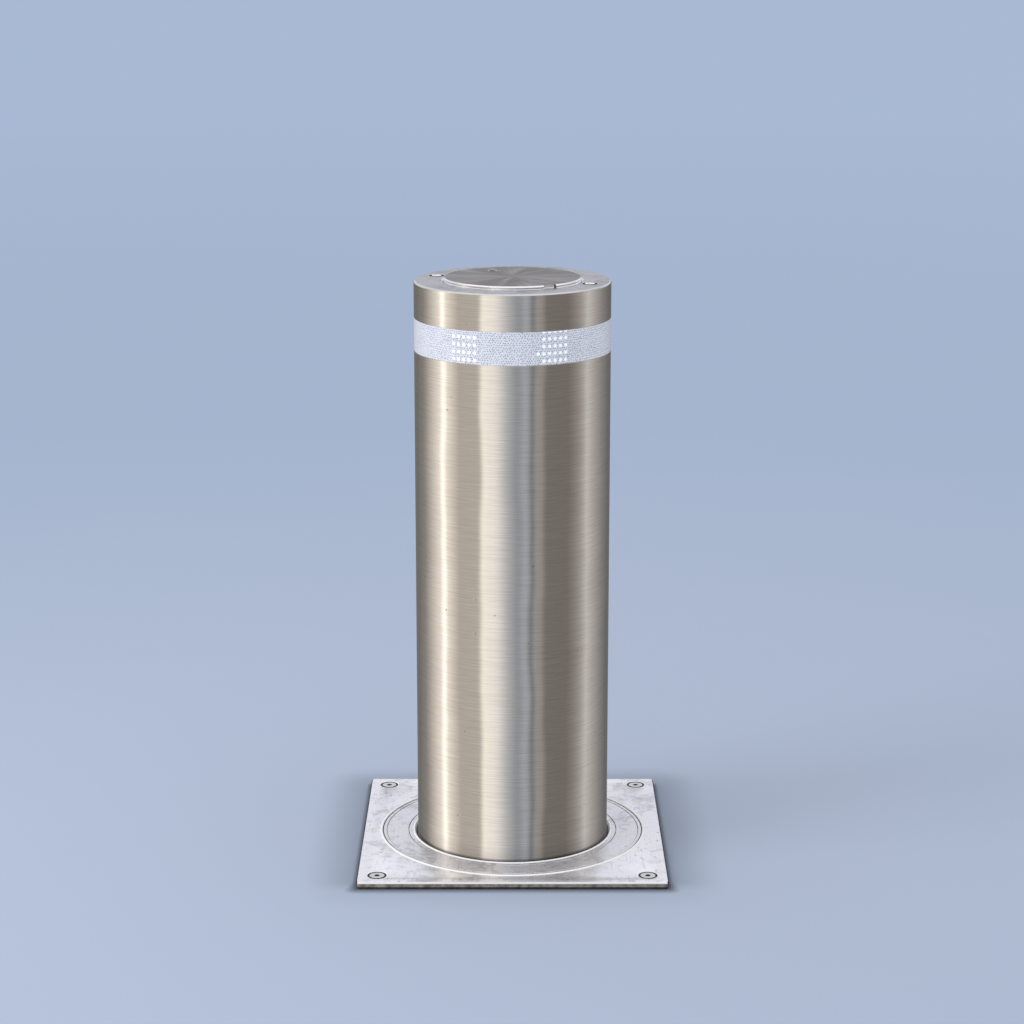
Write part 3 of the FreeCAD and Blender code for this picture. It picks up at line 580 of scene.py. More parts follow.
# painted highlights on bevels, on the rolled edges, round the countersinks and on the plug heads
highlightBevel = polishAndHighlight("highlightBevel", (0.84, 0.835, 0.85, 1.0))
highlightLine = polishAndHighlight("highlightLine", (0.985, 0.985, 1.0, 1.0), 0.2, 0.05)
# darker copies of the plate's finish: painted shade on the cover ring, the wiper retainer and the head's top
satinRing = satinPlate("satinRing", 0.87)
paleTop = satinPlate("paleTop", 0.43)
# a painted highlight on the head's rim, and a painted glint on the key hole's chamfer
rimHighlight = polishAndHighlight("rimHighlight", (0.68, 0.675, 0.69, 1.0))
keyGlint = polishAndHighlight("keyGlint", (0.50, 0.50, 0.53, 1.0), 0.3, 0.1)
# painted shade at the ends of the pry notch
notchShade = grimeAndShadeSteel("notchShade", (0.26, 0.25, 0.25, 1.0))
mirrorEdge = polishAndHighlight("mirrorEdge", (0.95, 0.945, 0.95, 1.0), 0.14, 1.0)
# painted shade: near-black in sockets, countersinks and the gaps between parts, warm grey on the plate's front
# side
sinkShade = grimeAndShadeSteel("sinkShade", (0.05, 0.048, 0.046, 1.0))
warmSideShade = grimeAndShadeSteel("warmSideShade", (0.36, 0.33, 0.305, 1.0))
beadFinish = beadWhiteGlow("reflectorBead")
for part in frame["record"]["subparts"]:
    mesh = nodes[part["node"]].data
    mesh.materials.clear()
    mesh.materials.append(finishes[part["material_slot"]])
print("finishes:", len(finishes))


# The tube, with the slot for the bolt at its foot and the shallow seat of the band

tubeSizes = {
    "wall": 6.0 * mm,
    "seatDeep": 0.6 * mm,
    "seatEdge": 0.5 * mm,
    "soft": 0.2 * mm,
    "ringStep": 0.1,
    "ringCount": 8,
    "slotX": -28.0 * mm,
    "slotHalf": 9.5 * mm,
    "slotTop": -167.6 * mm,
    "slotDepths": (0.1, 0.16),
}


def makeTube():
    size = tubeSizes
    inner = tubeRadius - size["wall"]
    seat = tubeRadius - size["seatDeep"]
    low = bandLow - size["seatEdge"]
    high = bandHigh + size["seatEdge"]
    soft = size["soft"]
    near, far = size["slotDepths"]
    profile = [(inner, tubeLow), (tubeRadius - soft, tubeLow), (tubeRadius, tubeLow + soft)]
    profile += [(tubeRadius, tubeLow + size["ringStep"] * (k + 1)) for k in range(size["ringCount"])]
    profile += [(tubeRadius, low - soft), (tubeRadius - soft, low), (seat, low), (seat, high),
                (tubeRadius - soft, high), (tubeRadius, high + soft), (tubeRadius, tubeHigh), (inner, tubeHigh)]
    tube = turned("tubeShell", profile, finishes["tube_stainless"])
    slot = blockOf("slotCut", (size["slotX"] - size["slotHalf"], near, tubeLow - past),
                   (size["slotX"] + size["slotHalf"], far, size["slotTop"]))
    cutBy(tube, [slot])
    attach(tube, "bollard")
    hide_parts("bollard_tube")


makeTube()
print("tube made")


# The head ring with its rounded rim, the seat of the disc and the pockets of the two lifting plugs

headSizes = {
    "rimRound": 3.0 * mm,
    "rimThick": 12.0 * mm,
    "skirtIn": 6.1 * mm,
    "discGap": 0.6 * mm,
    "bevelWide": 2.0 * mm,
    "bevelDeep": 1.2 * mm,
    "seatDeep": 4.0 * mm,
    "mouthRadius": 83.5 * mm,
    "plugCircle": 112.5 * mm,
    "plugAngles": (160.0, -20.0),
    "pocketRadius": 10.1 * mm,
    "pocketDeep": 5.0 * mm,
    "pocketBevel": 0.7 * mm,
    "pocketEdge": 0.5 * mm,
    "boreRadius": 6.05 * mm,
    "boreSides": 48,
    "paleFrom": 0.985,
    "rimSlopes": (0.45, 0.96),
}


def plugSpot(degrees):
    a = math.radians(degrees)
    return headSizes["plugCircle"] * math.cos(a), headSizes["plugCircle"] * math.sin(a)


def makeHead():
    size = headSizes
    rim = size["rimRound"]
    skirt = tubeRadius - size["skirtIn"]
    lip = discRadius + size["discGap"]
    profile = [(size["mouthRadius"], headLow), (skirt, headLow), (skirt, headTop - size["rimThick"]),
               (tubeRadius, headTop - size["rimThick"])]
    profile += corner(tubeRadius - rim, headTop - rim, rim, 0, 90, 8)
    profile += [(lip + size["bevelWide"], headTop), (lip, headTop - size["bevelDeep"]),
                (lip, headTop - size["seatDeep"]), (size["mouthRadius"], headTop - size["seatDeep"])]
    ring = turned("headRing", profile, finishes["tube_stainless"])
    cutters = []
    for degrees in size["plugAngles"]:
        x, y = plugSpot(degrees)
        pocket = size["pocketRadius"]
        mouth = pocket + size["pocketBevel"]
        edge = headTop - size["pocketEdge"]
        floor = headTop - size["pocketDeep"]
        top = headTop + past
        shape = [(0, floor), (pocket, floor), (pocket, edge), (mouth, edge + size["pocketBevel"]),
                 (mouth, top), (0, top)]
        cutters.append(turned("pocketCut", shape, cutterFinish, smallSides, x, y))
        bore = size["boreRadius"]
        shape = [(0, headLow - past), (bore, headLow - past), (bore, top), (0, top)]
        cutters.append(turned("boreCut", shape, cutterFinish, size["boreSides"], x, y))
    cutBy(ring, cutters)
    brushed, pale, bevel, shadeSlot, mirror = addFinishes(ring, paleTop, rimHighlight, sinkShade, mirrorEdge)
    steepest, flattest = size["rimSlopes"]
    # the level top is pale, the rim's slopes take a painted highlight, the disc's lip a mirror, and the plug
    # pockets' walls painted shade
    for face in ring.data.polygons:
        out = math.hypot(face.center.x, face.center.y)
        up = face.normal.z
        if face.center.z < headTop - size["pocketDeep"] + slack:
            continue
        if up > size["paleFrom"]:
            face.material_index = pale
        elif out > tubeRadius - rim - slack:
            face.material_index = bevel if steepest < up < flattest else pale if up >= flattest else brushed
        elif out < lip + size["bevelWide"] + slack:
            face.material_index = mirror
        else:
            face.material_index = shadeSlot
    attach(ring, "bollard")
    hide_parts("head_ring")


makeHead()


# The two lifting plugs: a socket head in each pocket

plugSizes = {
    "radius": 8.6 * mm,
    "shankRadius": 6.0 * mm,
    "proud": 0.8 * mm,
    "faceRadius": 6.8 * mm,
    "faceDeep": 1.5 * mm,
    "brightDeep": 0.9 * mm,
    "edge": 0.5 * mm,
    "tipBevel": 1.0 * mm,
    "long": 20.0 * mm,
    "socketAcross": 8.0 * mm,
    "socketDeep": 4.5 * mm,
}


def hexCutter(x, y, low, high, across, turnDegrees):
    bm = bmesh.new()
    r = across / 2 / math.cos(math.radians(30))
    ring = []
    for z in (low, high):
        angles = [math.radians(60 * k + turnDegrees) for k in range(6)]
        ring.append([bm.verts.new((x + r * math.cos(a), y + r * math.sin(a), z)) for a in angles])
    closedStack(bm, ring)
    return objectFrom(bm, "hexCut", cutterFinish)


def makePlugs():
    size = plugSizes
    top = headTop + size["proud"]
    seat = headTop - headSizes["pocketDeep"]
    tip = headTop - size["long"]
    for k, degrees in enumerate(headSizes["plugAngles"]):
        x, y = plugSpot(degrees)
        r = size["radius"]
        shank = size["shankRadius"]
        profile = [(0, tip), (shank - size["tipBevel"], tip), (shank, tip + size["tipBevel"]),
                   (shank, seat), (r, seat), (r, top - size["faceDeep"]),
                   (size["faceRadius"], top - size["edge"]), (size["faceRadius"] - size["edge"], top), (0, top)]
        plug = turned("liftingPlug", profile, highlightLine, smallSides, x, y)
        cutBy(plug, [hexCutter(x, y, top - size["socketDeep"], top + past, size["socketAcross"], degrees)])
        bright, shadeSlot = addFinishes(plug, sinkShade)
        # the head's face is a painted highlight, the socket and the sides below it painted shade
        for face in plug.data.polygons:
            face.material_index = shadeSlot if face.center.z < top - size["brightDeep"] else bright
        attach(plug, "bollard")
        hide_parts(f"lifting_plug_{k + 1}")


makePlugs()


# The lift-off disc in the head: turned finish, pry notch and key hole

discSizes = {
    "edgeBevel": 1.8 * mm,
    "seatAbove": 0.3 * mm,
    "plugRadius": 82.7 * mm,
    "grooveRadius": 80.7 * mm,
    "grooveDeep": (5.5 * mm, 8.5 * mm),
    "notchAngle": -57.5,
    "notchHalf": 9.8 * mm,
    "notchIn": 3.6 * mm,
    "notchCorner": 2.4 * mm,
    "notchFloor": 6.0 * mm,
    "keyRadius": 7.5 * mm,
    "keyBevel": 0.8 * mm,
    "keyX": -28.0 * mm,
    "keyRound": 1.0 * mm,
    "mirrorDeep": 2.0 * mm,
    "notchDeep": 3.0 * mm,
}


def notchCutter(low, high):
    # open outwards, with round inner corners as a milling cutter leaves them
    size = discSizes
    inner = discRadius - size["notchIn"]
    half = size["notchHalf"]
    soft = size["notchCorner"]
    outline = [(discRadius + past, -half)] + corner(inner + soft, soft - half, soft, 270, 180)
    outline += corner(inner + soft, half - soft, soft, 180, 90) + [(discRadius + past, half)]
    turn = math.radians(size["notchAngle"])
    across, along = math.cos(turn), math.sin(turn)
    bm = bmesh.new()
    ring = []
    for z in (low, high):
        ring.append([bm.verts.new((x * across - y * along, x * along + y * across, z)) for x, y in outline])
    closedStack(bm, ring)
    return objectFrom(bm, "notchCut", cutterFinish)


def makeDisc():
    size = discSizes
    bevel = size["edgeBevel"]
    seat = headTop - headSizes["seatDeep"] + size["seatAbove"]
    plug = size["plugRadius"]
    groove = size["grooveRadius"]
    grooveTop, grooveLow = (headTop - deep for deep in size["grooveDeep"])
    profile = [(0, coverLow), (plug, coverLow), (plug, grooveLow), (groove, grooveLow),
               (groove, grooveTop), (plug, grooveTop), (plug, seat), (discRadius, seat),
               (discRadius, discTop - bevel), (discRadius - bevel, discTop), (0, discTop)]
    disc = turned("headDisc", profile, finishes["cover_stainless"])
    notch = notchCutter(discTop - size["notchFloor"], discTop + past)
    low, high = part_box("key_rotor")
    keyY = (low.y + high.y) / 2
    r = size["keyRadius"]
    mouth = r + size["keyBevel"]
    half = size["keyBevel"] / 2
    hole = turned("keyCut", [(0, coverLow - past), (r, coverLow - past), (r, discTop - half),
                             (mouth, discTop + half), (mouth, discTop + past), (0, discTop + past)],
                  cutterFinish, smallSides, size["keyX"], keyY)
    cutBy(disc, [notch, hole])
    mirror, bright, shade, wall = addFinishes(disc, mirrorEdge, highlightBevel, notchShade, keyGlint)[1:]
    turn = math.radians(size["notchAngle"])
    away = Vector((math.cos(turn), math.sin(turn), 0))
    for face in disc.data.polygons:
        x, y, z = face.center
        up = face.normal.z
        if math.hypot(x, y) > discRadius - bevel and abs(up) < sloping and z > headTop - size["mirrorDeep"]:
            face.material_index = mirror
        outwards = x * away.x + y * away.y
        sideways = abs(y * away.x - x * away.y)
        inNotch = outwards > discRadius - size["notchIn"] - slack and sideways < size["notchHalf"] + slack
        # painted highlight on the notch's back wall, painted shade on its ends
        if inNotch and headTop - size["notchDeep"] < z < discTop - slack:
            face.material_index = bright if face.normal.dot(away) > level else shade
        # a painted glint on the key hole's chamfer
        if math.hypot(x - size["keyX"], y - keyY) < r + size["keyRound"] and lookingUp < up < sloping:
            face.material_index = wall
    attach(disc, "head_cover")
    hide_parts("head_cover")


makeDisc()
print("head made")


# The reflective band and its beads

def makeBand():
    look = bandLook
    inner = bandRadius - look["filmThick"]
    soft = look["filmSoft"]
    profile = [(inner, bandLow), (bandRadius - soft, bandLow), (bandRadius, bandLow + soft),
               (bandRadius, bandHigh - soft), (bandRadius - soft, bandHigh), (inner, bandHigh)]
    film = turned("reflectiveFilm", profile, finishes["reflective_tape"])
    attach(film, "bollard")
    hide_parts("reflective_band")
    bm = bmesh.new()
    middle = (bandLow + bandHigh) / 2
    for centre, rows, lift in look["clusters"]:
        step = look["rowStep"][rows]
        spots = [(column, row) for column in range(look["columns"]) for row in range(rows)]
        if rows == 5:
            spots.append((-1, 3))  # the larger clusters have one odd bead beside them
        for column, row in spots:
            degrees = centre + (column - look["columns"] // 2) * look["columnStep"] - 90
            z = middle + ((rows - 1) / 2 - row) * step + lift
            addBead(bm, math.radians(degrees), z)
    beads = objectFrom(bm, "reflectorBeads", beadFinish, 80)
    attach(beads, "bollard")


def addBead(bm, angle, z):
    # a shallow dome that follows the curve of the band and keeps just below its upper edge
    look = bandLook
    out = Vector((math.cos(angle), math.sin(angle), 0))
    side = Vector((-math.sin(angle), math.cos(angle), 0))
    radius, high, sides = look["beadRadius"], look["beadHigh"], look["beadSides"]
    foot = bandRadius - look["beadRooted"]
    rings = []
    for share, lift in look["beadRings"]:
        ring = []
        for k in range(sides):
            a = math.tau * k / sides
            across = math.cos(a) * radius * share
            turn = across / bandRadius
            spot = (out * math.cos(turn) + side * math.sin(turn)) * (foot + high * lift)
            level = min(z + math.sin(a) * radius * share, bandHigh - (1.4 - share) * 0.3 * mm)
            ring.append(bm.verts.new((spot.x, spot.y, level)))
        rings.append(ring)
    top = bm.verts.new((*(out * (bandRadius + high)).xy, min(z, bandHigh - 0.8 * mm)))
    for lower, upper in zip(rings, rings[1:]):
        facesBetween(bm, lower, upper)
    for k in range(sides):
        bm.faces.new((rings[-1][k], rings[-1][(k + 1) % sides], top))
    bm.faces.new(rings[0][::-1])


makeBand()
print("band made")


# The cover ring, the wiper retainer and the rubber wiper

ringSizes = {
    "edge": 0.4 * mm,
    "outerGap": 0.6 * mm,
    "grooveInset": 5.8 * mm,
    "grooveWide": 0.6 * mm,
    "grooveDeep": 0.6 * mm,
    "innerGap": 0.9 * mm,
    "bore": 139.5 * mm,
    "boreBevelWide": 1.6 * mm,
    "boreBevelDeep": 1.2 * mm,
    "boreLand": 1.8 * mm,
    "innerEdge": 0.3 * mm,
    "retainerEdge": 0.4 * mm,
    "lipGap": 0.3 * mm,
    "lipWide": 1.0 * mm,
}


def makeRings():
    size = ringSizes
    inner = retainerRadius + size["innerGap"]
    outer = ringRadius - size["outerGap"]
    groove = ringRadius - size["grooveInset"]
    wide = size["grooveWide"]
    edge, innerEdge = size["edge"], size["innerEdge"]
    cover = turned("coverRing", [
        (inner, ringFloor), (outer, ringFloor), (outer, plateTop - edge), (outer - edge, plateTop),
        (groove + wide, plateTop), (groove, plateTop - size["grooveDeep"]), (groove - wide, plateTop),
        (inner + innerEdge, plateTop), (inner, plateTop - innerEdge)], satinRing)
    satin, shadeSlot = addFinishes(cover, sinkShade)
    # painted shade in the joints and in the groove
    for face in cover.data.polygons:
        out = math.hypot(face.center.x, face.center.y)
        joint = out > outer - edge or out < inner + slack
        dark = (joint and face.normal.z < sloping) or abs(out - groove) < wide / 2
        face.material_index = shadeSlot if dark else satin
    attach(cover, "pit")
    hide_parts("cover_ring")
    bore = size["bore"]
    bevelTop = bore + size["boreBevelWide"]
    land = bevelTop + size["boreLand"]
    edge = size["retainerEdge"]
    retainer = turned("wiperRetainer", [
        (bore, retainerLow), (retainerRadius, retainerLow), (retainerRadius, plateTop - edge),
        (retainerRadius - edge, plateTop), (land, plateTop), (bevelTop, plateTop),
        (bore, plateTop - size["boreBevelDeep"])], satinRing)
    bright, shadeSlot = addFinishes(retainer, highlightBevel, sinkShade)[1:]
    # a painted highlight on the bore's land and bevel, painted shade on the outer wall
    for face in retainer.data.polygons:
        out = math.hypot(face.center.x, face.center.y)
        if out < land and face.normal.z > lookingUp:
            face.material_index = bright
        elif out > retainerRadius - slack:
            face.material_index = shadeSlot
    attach(retainer, "pit")
    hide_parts("wiper_retainer")
    lip = tubeRadius + size["lipGap"]
    wiper = turned("wiperSeal", [
        (lip, sealLow), (sealRadius, sealLow), (sealRadius, retainerLow), (bore - size["lipGap"], retainerLow),
        (lip + size["lipWide"], sealHigh), (lip, sealHigh)], finishes["black_rubber"])
    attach(wiper, "pit")
    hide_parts("wiper_seal")
    groundPieces.extend((cover, retainer, wiper))


makeRings()


# The rolled edges of the recess and of the opening, white as painted highlight lines

edgeSizes = {
    # how far out, half the width, how high
    "recessEdge": (2.2 * mm, 1.9 * mm, 1.5 * mm),
    "openingEdge": (2.6 * mm, 1.7 * mm, 1.5 * mm),
    "rooted": 0.3 * mm,
    "steps": 8,
}


def makeRolledEdge(name, around):
    out, half, high = edgeSizes[name]
    radius = around + out
    rooted = plateTop - edgeSizes["rooted"]
    profile = [(radius + half, rooted)]
    for k in range(edgeSizes["steps"] + 1):
        a = math.pi * k / edgeSizes["steps"]
        profile.append((radius + half * math.cos(a), plateTop + high * math.sin(a)))
    profile.append((radius - half, rooted))
    edge = turned(name, profile, highlightLine)
    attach(edge, "pit")
    groundPieces.append(edge)


makeRolledEdge("recessEdge", ringRadius)
makeRolledEdge("openingEdge", ringSizes["bore"])
print("rings made")


# The square ground plate: rounded edge, seat of the cover ring, four countersinks

plateSizes = {
    "corner": 6.0 * mm,
    "smallestCorner": 0.5 * mm,
    "round": 3.0 * mm,
    "footIn": 1.0 * mm,
    "footHigh": 3.0 * mm,
    "footSlope": 0.3 * mm,
    "seatGap": 0.3 * mm,
    "openingRadius": 169.9 * mm,
    "screwAt": 187.0 * mm,
    "sinkRadius": 13.4 * mm,
    "sinkLand": 1.0 * mm,
    "sinkWall": 0.4 * mm,
    "holeRadius": 6.5 * mm,
    "recessDeep": 1.3 * mm,
    "brightUp": (0.15, 0.9),
}


def roundedSquare(half, radius, z, count=8):
    points = []
    for k, (sx, sy) in enumerate(((1, 1), (-1, 1), (-1, -1), (1, -1))):
        for j in range(count + 1):
            a = math.radians(90 * k + 90 * j / count)
            x = sx * (half - radius) + radius * math.cos(a)
            y = sy * (half - radius) + radius * math.sin(a)
            points.append((x, y, z))
    return points


def makePlate():
    size = plateSizes
    levelsIn = [(0.0, size["footIn"]), (size["footHigh"], size["footIn"]),
                (size["footHigh"] + size["footSlope"], 0.0)]
    for r, z in corner(0, plateTop - size["round"], size["round"], 0, 90, 7):
        levelsIn.append((z, size["round"] - r))
    bm = bmesh.new()
    loops = []
    for z, inward in levelsIn:
        radius = max(size["corner"] - inward, size["smallestCorner"])
        loops.append([bm.verts.new(p) for p in roundedSquare(plateHalf - inward, radius, z)])
    closedStack(bm, loops)
    plate = objectFrom(bm, "flangePlate", finishes["plate_stainless"])
    seat = ringRadius + size["seatGap"]
    above = plateTop + past
    opening, hole, sink = size["openingRadius"], size["holeRadius"], size["sinkRadius"]
    land = sink + size["sinkLand"]
    cutters = [turned("seatCut", [(0, -past), (opening, -past), (opening, ringFloor), (seat, ringFloor),
                                  (seat, above), (0, above)], cutterFinish)]
    for sx in (-1, 1):
        for sy in (-1, 1):
            cutters.append(turned("sinkCut", [
                (0, -past), (hole, -past), (hole, plateTop - (sink - hole)),
                (sink, plateTop - size["sinkWall"]), (land, plateTop), (land, above), (0, above)],
                cutterFinish, smallSides, sx * size["screwAt"], sy * size["screwAt"]))
    cutBy(plate, cutters)
    bright, warm, shadeSlot, line = addFinishes(plate, highlightBevel, warmSideShade, sinkShade, highlightLine)[1:]
    rim = plateHalf - size["round"] - slack
    frontBright, flankBright = size["brightUp"]
    # painted highlight on the top of the rounded edge and round each countersink; painted shade on the foot,
    # the flanks, the front side, in the countersinks and in the recess
    for face in plate.data.polygons:
        x, y, z = face.center
        up = face.normal.z
        flank = abs(face.normal.x) > abs(face.normal.y)
        onRim = max(abs(x), abs(y)) > rim
        toScrew = math.hypot(abs(x) - size["screwAt"], abs(y) - size["screwAt"])
        if onRim and z < size["footHigh"] + size["footSlope"] + slack:
            face.material_index = shadeSlot
        elif onRim and up < level:
            brightFrom = flankBright if flank else frontBright
            face.material_index = bright if up > brightFrom else shadeSlot if flank else warm
        elif toScrew < land + slack and up < level:
            face.material_index = line if toScrew > sink else shadeSlot
        elif z < plateTop - size["recessDeep"] and math.hypot(x, y) < seat + slack:
            face.material_index = shadeSlot
    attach(plate, "pit")
    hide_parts("flange_plate")
    groundPieces.append(plate)


makePlate()


# The four countersunk screws with their hexagon sockets

screwSizes = {
    "headRadius": 11.4 * mm,
    "edgeWide": 1.1 * mm,
    "edgeDeep": 1.0 * mm,
    "shankRadius": 6.0 * mm,
    "tipBevel": 0.8 * mm,
    "socketAcross": 7.0 * mm,
    "socketDeep": 5.0 * mm,
    "bareDeep": 0.3 * mm,
    "turns": (12.0, 35.0, 50.0, 4.0),
}


def makeScrews():
    size = screwSizes
    for k, turnDegrees in enumerate(size["turns"]):
        node = f"plate_screw_{k + 1}"
        low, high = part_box(node)
        x = (low.x + high.x) / 2
        y = (low.y + high.y) / 2
        head = size["headRadius"]
        shank = size["shankRadius"]
        edge = high.z - size["edgeDeep"]
        cone = edge - (head - shank)
        profile = [(0, low.z), (shank - size["tipBevel"], low.z), (shank, low.z + size["tipBevel"]),
                   (shank, cone), (head, edge), (head - size["edgeWide"], high.z), (0, high.z)]
        screw = turned("plateScrew", profile, finishes["screw_stainless"], smallSides, x, y)
        socket = hexCutter(x, y, high.z - size["socketDeep"], high.z + past, size["socketAcross"], turnDegrees)
        cutBy(screw, [socket])
        steel, shadeSlot = addFinishes(screw, sinkShade)
        # painted shade in the socket and on the head's cone
        for face in screw.data.polygons:
            bare = face.normal.z >= level and face.center.z >= high.z - size["bareDeep"]
            face.material_index = steel if bare or face.center.z <= cone else shadeSlot
        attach(screw, "pit")
        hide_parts(node)
        groundPieces.append(screw)


makeScrews()
print("plate made")


# Floor, surroundings, lights and camera

floorLook = {
    "tones": ((0.5, (0.430, 0.498, 0.640)), (3.0, (0.397, 0.4875, 0.657)), (12.0, (0.426, 0.527, 0.716))),
    "tonesTo": 20.0,
    "radius": 60.0,
    "roughness": 0.5,
    "frontOf": (-0.22, -0.19),
    "shadeWide": 85 * mm,
    "shade": 0.73,
    "shadeFront": 0.92,
    "contactWide": 7.0 * mm,
    "contactFront": 17.0 * mm,
    "contact": 0.35,
    "drift": (0.5, 0.55, 0.66, 1.0),
    "rimPoints": 64,
    "pitGap": 0.5 * mm,
}


def floorFinish():
    g = finishGraph("studioFloor")
    look = floorLook
    span = look["tonesTo"]
    # the tone changes with the distance from the bollard: painted light and shade across the floor
    stops = [(at / span, colour) for at, colour in look["tones"]]
    tone = g.ramp(g.between(g.lengthOf(g.place), 0.0, span), stops)
    drift = g.noise(g.scaled(1.2, 5.0, 1.0), 1.0, 4.0, 0.6, 0.5)
    tone = g.mix(g.vary(drift, 0.0, 0.06), tone, look["drift"])
    # painted shade round the plate and a painted contact shadow along its edge, both from the distance to its
    # edge
    overX = g.math("MAXIMUM", g.math("SUBTRACT", g.math("ABSOLUTE", g.x), plateHalf), 0.0)
    overY = g.math("MAXIMUM", g.math("SUBTRACT", g.math("ABSOLUTE", g.y), plateHalf), 0.0)
    beside = g.lengthOf(g.vector(overX, overY, 0.0))
    deepest = g.between(g.y, *look["frontOf"], look["shadeFront"], look["shade"])
    shade = g.between(beside, 0.0, look["shadeWide"], deepest, 1.0, "SMOOTHSTEP")
    contactTo = g.between(g.y, *look["frontOf"], look["contactFront"], look["contactWide"])
    contact = g.between(g.math("DIVIDE", beside, contactTo), 0.0, 1.0, look["contact"], 1.0)
    dark = g.times(shade, contact)
    dark = g.add("ShaderNodeCombineColor", {0: dark, 1: dark, 2: dark}).outputs[0]
    material = g.dressed({
        "Base Color": g.mix(1.0, tone, dark, "MULTIPLY"), "Roughness": look["roughness"],
        "Specular IOR Level": 0.0, "Normal": g.bump(drift, 0.0005, 0.05)})
    # reflections in the metal see the studio, not the floor
    clear = g.add("ShaderNodeBsdfTransparent").outputs[0]
    glossy = g.add("ShaderNodeLightPath").outputs["Is Glossy Ray"]
    both = g.add("ShaderNodeMixShader", {0: glossy, 1: g.shader.outputs[0], 2: clear}).outputs[0]
    g.put(g.tree.nodes["Material Output"].inputs["Surface"], both)
    return material


def makeFloor():
    # a wide disc with a square hole over the pit
    bm = bmesh.new()
    hole = reach("casing_front") + floorLook["pitGap"]
    points, radius = floorLook["rimPoints"], floorLook["radius"]
    inner = [bm.verts.new((sx * hole, sy * hole, 0)) for sx, sy in ((1, 1), (-1, 1), (-1, -1), (1, -1))]
    outer = []
    for k in range(points):
        a = math.radians(45) + math.tau * k / points
        outer.append(bm.verts.new((radius * math.cos(a), radius * math.sin(a), 0)))
    for side in range(4):
        first = side * points // 4
        arcVerts = [outer[(first + k) % points] for k in range(points // 4 + 1)]
        bm.faces.new([inner[side]] + arcVerts + [inner[(side + 1) % 4]])
    floor = objectFrom(bm, "studioFloor", floorFinish())
    if any(face.normal.z < 0 for face in floor.data.polygons):
        floor.data.flip_normals()


# What the metal sees round it: (degrees from the viewer's side, + to the right, colour)
surroundTones = [
    (-180, (0.20, 0.20, 0.20)),
    (-150, (0.20, 0.195, 0.19)),
    (-128, (0.34, 0.31, 0.285)),
    (-120, (0.50, 0.455, 0.42)),
    (-113, (0.68, 0.62, 0.56)),
    (-95, (1.20, 1.10, 0.98)),
    (-89, (2.0, 1.87, 1.70)),
    (-83, (1.20, 1.10, 0.96)),
    (-74, (0.91, 0.82, 0.71)),
    (-66, (0.65, 0.585, 0.52)),
    (-40, (0.66, 0.60, 0.545)),
    (-34.5, (1.40, 1.29, 1.17)),
    (-19, (1.20, 1.12, 1.06)),
    (-7, (0.69, 0.68, 0.68)),
    (4, (0.42, 0.435, 0.47)),
    (8, (0.42, 0.435, 0.47)),
    (14, (0.54, 0.555, 0.60)),
    (18, (0.50, 0.51, 0.545)),
    (23, (0.24, 0.25, 0.275)),
    (28, (0.46, 0.435, 0.43)),
    (35, (0.42, 0.39, 0.36)),
    (40, (0.255, 0.235, 0.215)),
    (68, (0.25, 0.22, 0.205)),
    (80, (0.38, 0.34, 0.315)),
    (89, (0.53, 0.495, 0.465)),
    (98, (0.80, 0.76, 0.735)),
    (112, (0.56, 0.52, 0.50)),
    (130, (0.33, 0.31, 0.30)),
    (147, (0.20, 0.19, 0.19)),
    (160, (0.165, 0.16, 0.16)),
    (180, (0.20, 0.20, 0.20)),
]

lightLook = {
    "plain": (1.0, 1.0, 1.0, 1.0),
    "plainStrength": 0.92,
    "backCard": (0.76, 0.775, 0.85, 1.0),
    "cardFrom": (-0.02, 0.12),
    "cardBehind": (0.35, 0.75),
    "ceiling": (1.0, 1.0, 1.05, 1.0),
    "ceilingFrom": (0.35, 0.8),
    "backdrop": (0.392, 0.485, 0.659, 1.0),
    "keyPower": 13.0,
    "keySize": 1.6,
    "keySpreadDegrees": 120.0,
    "keyPlace": (-2.6, -1.2, 2.1),
}


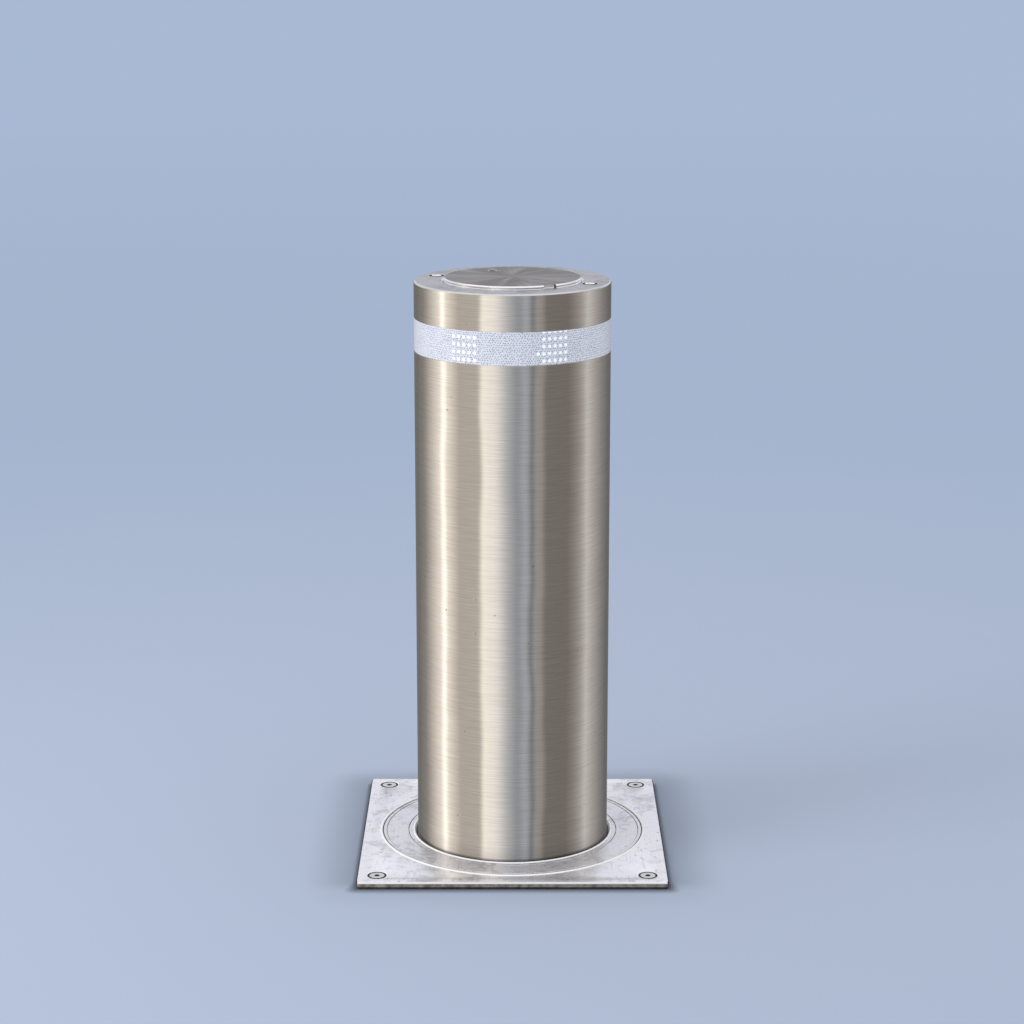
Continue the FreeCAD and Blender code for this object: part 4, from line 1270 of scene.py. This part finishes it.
def makeWorld():
    # metal sees the studio's lights and darks, all else gets plain light, and the camera a plain backdrop
    look = lightLook
    world = bpy.data.worlds.new("studio")
    scene.world = world
    world.use_nodes = True
    world.node_tree.nodes.clear()
    g = nodeGraph(world.node_tree, "Generated")

    def light(colour, strength=1.0):
        return g.add("ShaderNodeBackground", {0: colour, 1: strength}).outputs[0]

    def either(ray, no, yes):
        return g.add("ShaderNodeMixShader", {0: ray, 1: no, 2: yes}).outputs[0]

    share = g.math("MULTIPLY_ADD", g.angle(), 1 / math.tau, 0.5)
    around = g.ramp(share, [(degrees / 360 + 0.5, colour) for degrees, colour in surroundTones])
    low = g.between(g.z, *look["cardFrom"], curve="SMOOTHSTEP")
    behind = g.between(g.y, *look["cardBehind"], curve="SMOOTHSTEP")
    high = g.between(g.z, *look["ceilingFrom"], curve="SMOOTHSTEP")
    seen = g.mix(high, g.mix(g.times(low, behind), around, look["backCard"]), look["ceiling"])
    path = g.add("ShaderNodeLightPath").outputs
    first = either(path["Is Glossy Ray"], light(look["plain"], look["plainStrength"]), light(seen))
    second = either(path["Is Camera Ray"], first, light(look["backdrop"]))
    g.add("ShaderNodeOutputWorld", {0: second})


def makeKeyLight():
    look = lightLook
    data = bpy.data.lights.new("keyPanel", "AREA")
    data.shape = "SQUARE"
    data.size = look["keySize"]
    data.energy = look["keyPower"]
    data.spread = math.radians(look["keySpreadDegrees"])
    lamp = bpy.data.objects.new("keyPanel", data)
    lamp.location = look["keyPlace"]
    lamp.rotation_euler = (-Vector(look["keyPlace"])).to_track_quat("-Z", "Y").to_euler()
    lamp.visible_glossy = False
    scene.collection.objects.link(lamp)


viewerEye = {
    "lens": 91.56,
    "sensor": 36.0,
    "pitchDegrees": 13.462,
    "place": (-0.64 * mm, -3.5668, 1.3344),
    "seesTo": 200.0,
}


def makeCamera():
    data = bpy.data.cameras.new("viewerEye")
    data.sensor_width = viewerEye["sensor"]
    data.lens = viewerEye["lens"]
    data.clip_end = viewerEye["seesTo"]
    camera = bpy.data.objects.new("viewerEye", data)
    camera.location = viewerEye["place"]
    camera.rotation_euler = (math.radians(90 - viewerEye["pitchDegrees"]), 0, 0)
    scene.collection.objects.link(camera)
    scene.camera = camera


makeFloor()
makeWorld()
makeKeyLight()
makeCamera()
# the tube mirrors the studio, not the plate and the pit that it stands in
for name in frame["record"]["behaviour"]["bodies"]["pit"]:
    nodes[name].visible_glossy = False
for obj in groundPieces:
    obj.visible_glossy = False
scene.view_settings.view_transform = "Standard"
print("stage made")

bpy.data.materials.remove(cutterFinish)
